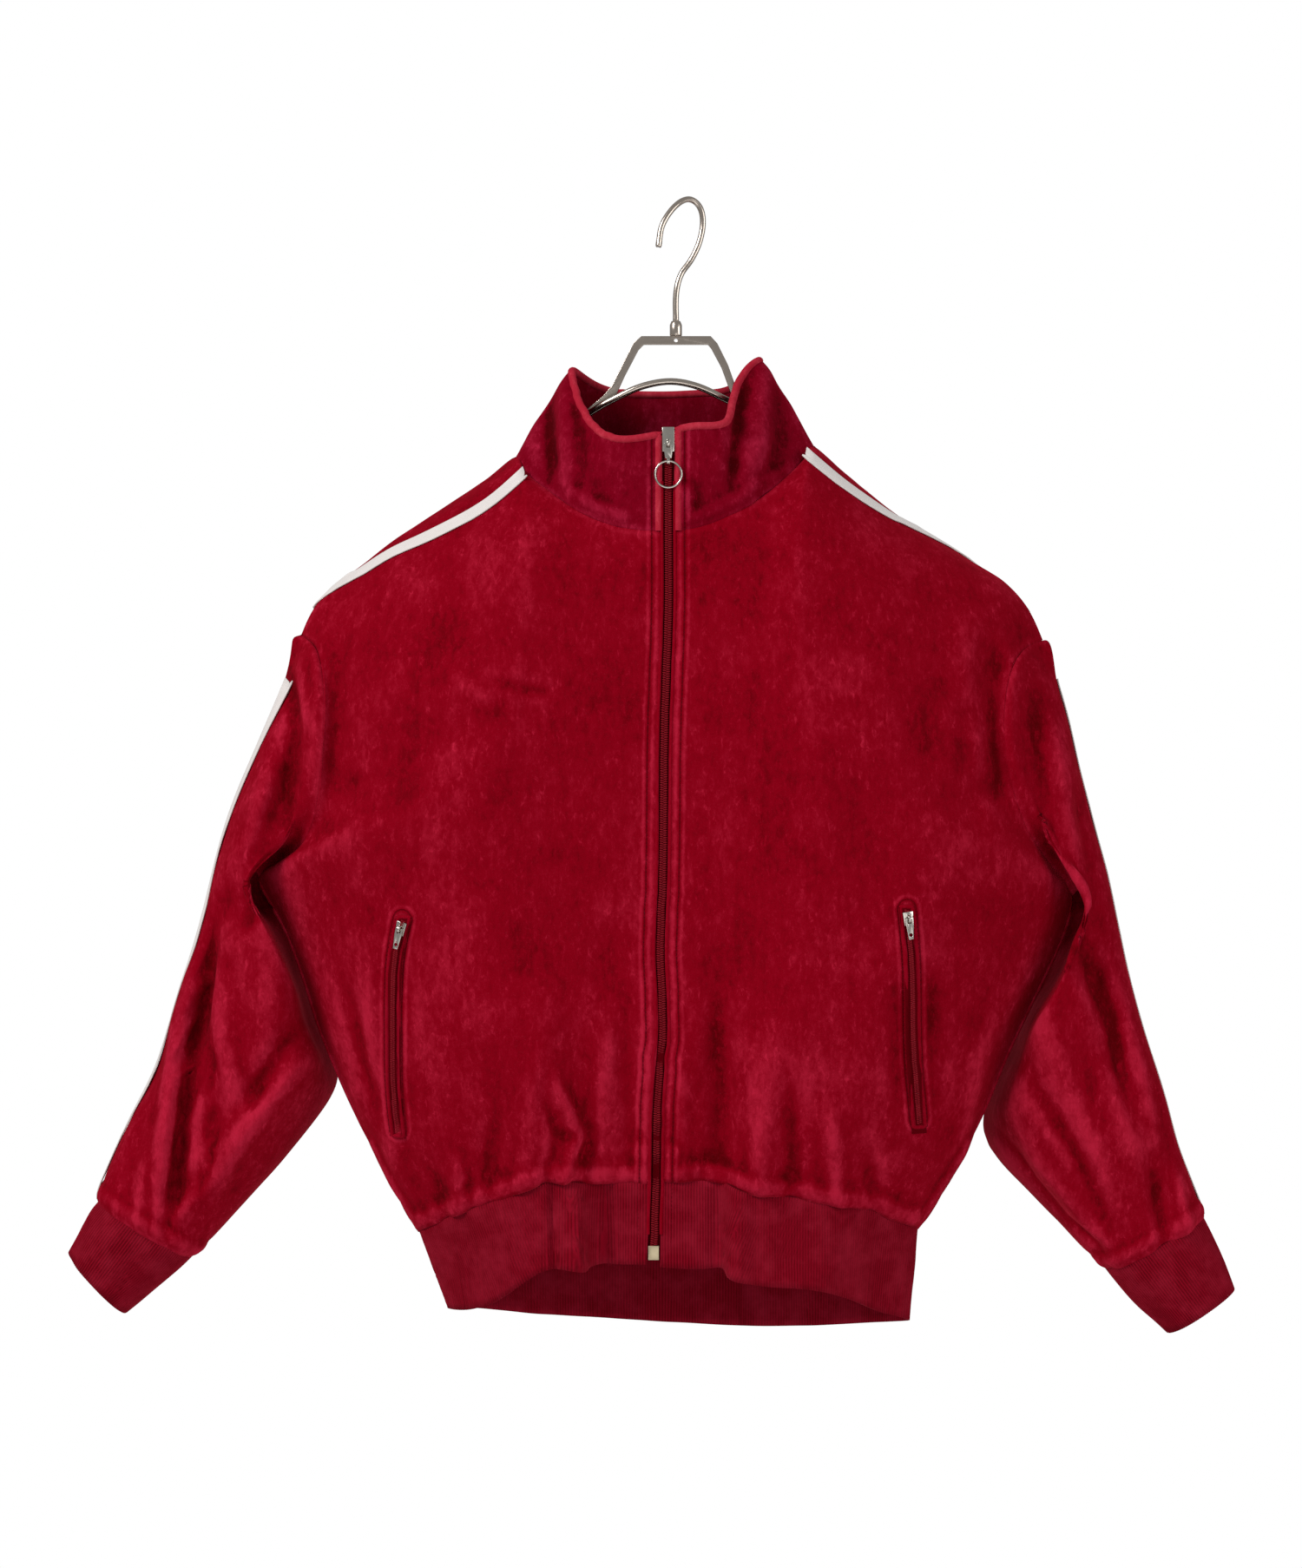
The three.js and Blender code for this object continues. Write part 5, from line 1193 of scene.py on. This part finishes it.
# Studio: a pale floor far below the hem, soft lights, and the camera straight in front.
world = bpy.data.worlds.new("studio")
bpy.context.scene.world = world
world.use_nodes = True
sky_nodes, sky_links = world.node_tree.nodes, world.node_tree.links
bpy.context.scene.view_settings.view_transform = "Standard"
sky = sky_nodes["Background"]
sky.inputs["Color"].default_value = (1, 1, 1, 1)
sky.inputs["Strength"].default_value = 1.0
room = sky_nodes.new("ShaderNodeBackground")
room.inputs["Strength"].default_value = 0.44
ray = sky_nodes.new("ShaderNodeLightPath")
pick = sky_nodes.new("ShaderNodeMixShader")
sky_links.new(ray.outputs["Is Camera Ray"], pick.inputs[0])
sky_links.new(room.outputs[0], pick.inputs[1])
sky_links.new(sky.outputs[0], pick.inputs[2])
sky_links.new(pick.outputs[0], sky_nodes["World Output"].inputs["Surface"])


def soft_light(name, place, aim, size, power):
    """A square soft light, aimed at a point."""
    lamp = bpy.data.lights.new(name, "AREA")
    lamp.size = size
    lamp.energy = power
    made = bpy.data.objects.new(name, lamp)
    made.location = place
    made.rotation_euler = (Vector(aim) - Vector(place)).to_track_quat("-Z", "Y").to_euler()
    bpy.context.scene.collection.objects.link(made)


soft_light("key", (-1.9, -1.5, 1.3), (0, 0, -0.45), 1.1, 68)
soft_light("fill", (2.4, -1.4, 0.1), (0, 0, -0.45), 1.6, 24)
soft_light("low", (0.2, -1.5, -1.0), (0, 0, -0.75), 1.2, 5)

floor = bmesh.new()
bmesh.ops.create_grid(floor, x_segments=1, y_segments=1, size=1.4, matrix=Matrix.Translation((0, -0.6, -1.25)))
floor = as_object(floor, "floor")
floor.data.materials.append(cloth_material("pale_floor", (0.86, 0.86, 0.86, 1), 40, roughness=0.9, sheen=0))

camera = bpy.data.cameras.new("front_camera")
camera.sensor_fit = "VERTICAL"
camera.sensor_height = 36
camera.lens = 79.73
viewer = bpy.data.objects.new("front_camera", camera)
viewer.location = (-0.02665, -2.6, -0.4358)
viewer.rotation_euler = (math.radians(90), 0, 0)
bpy.context.scene.collection.objects.link(viewer)
bpy.context.scene.camera = viewer
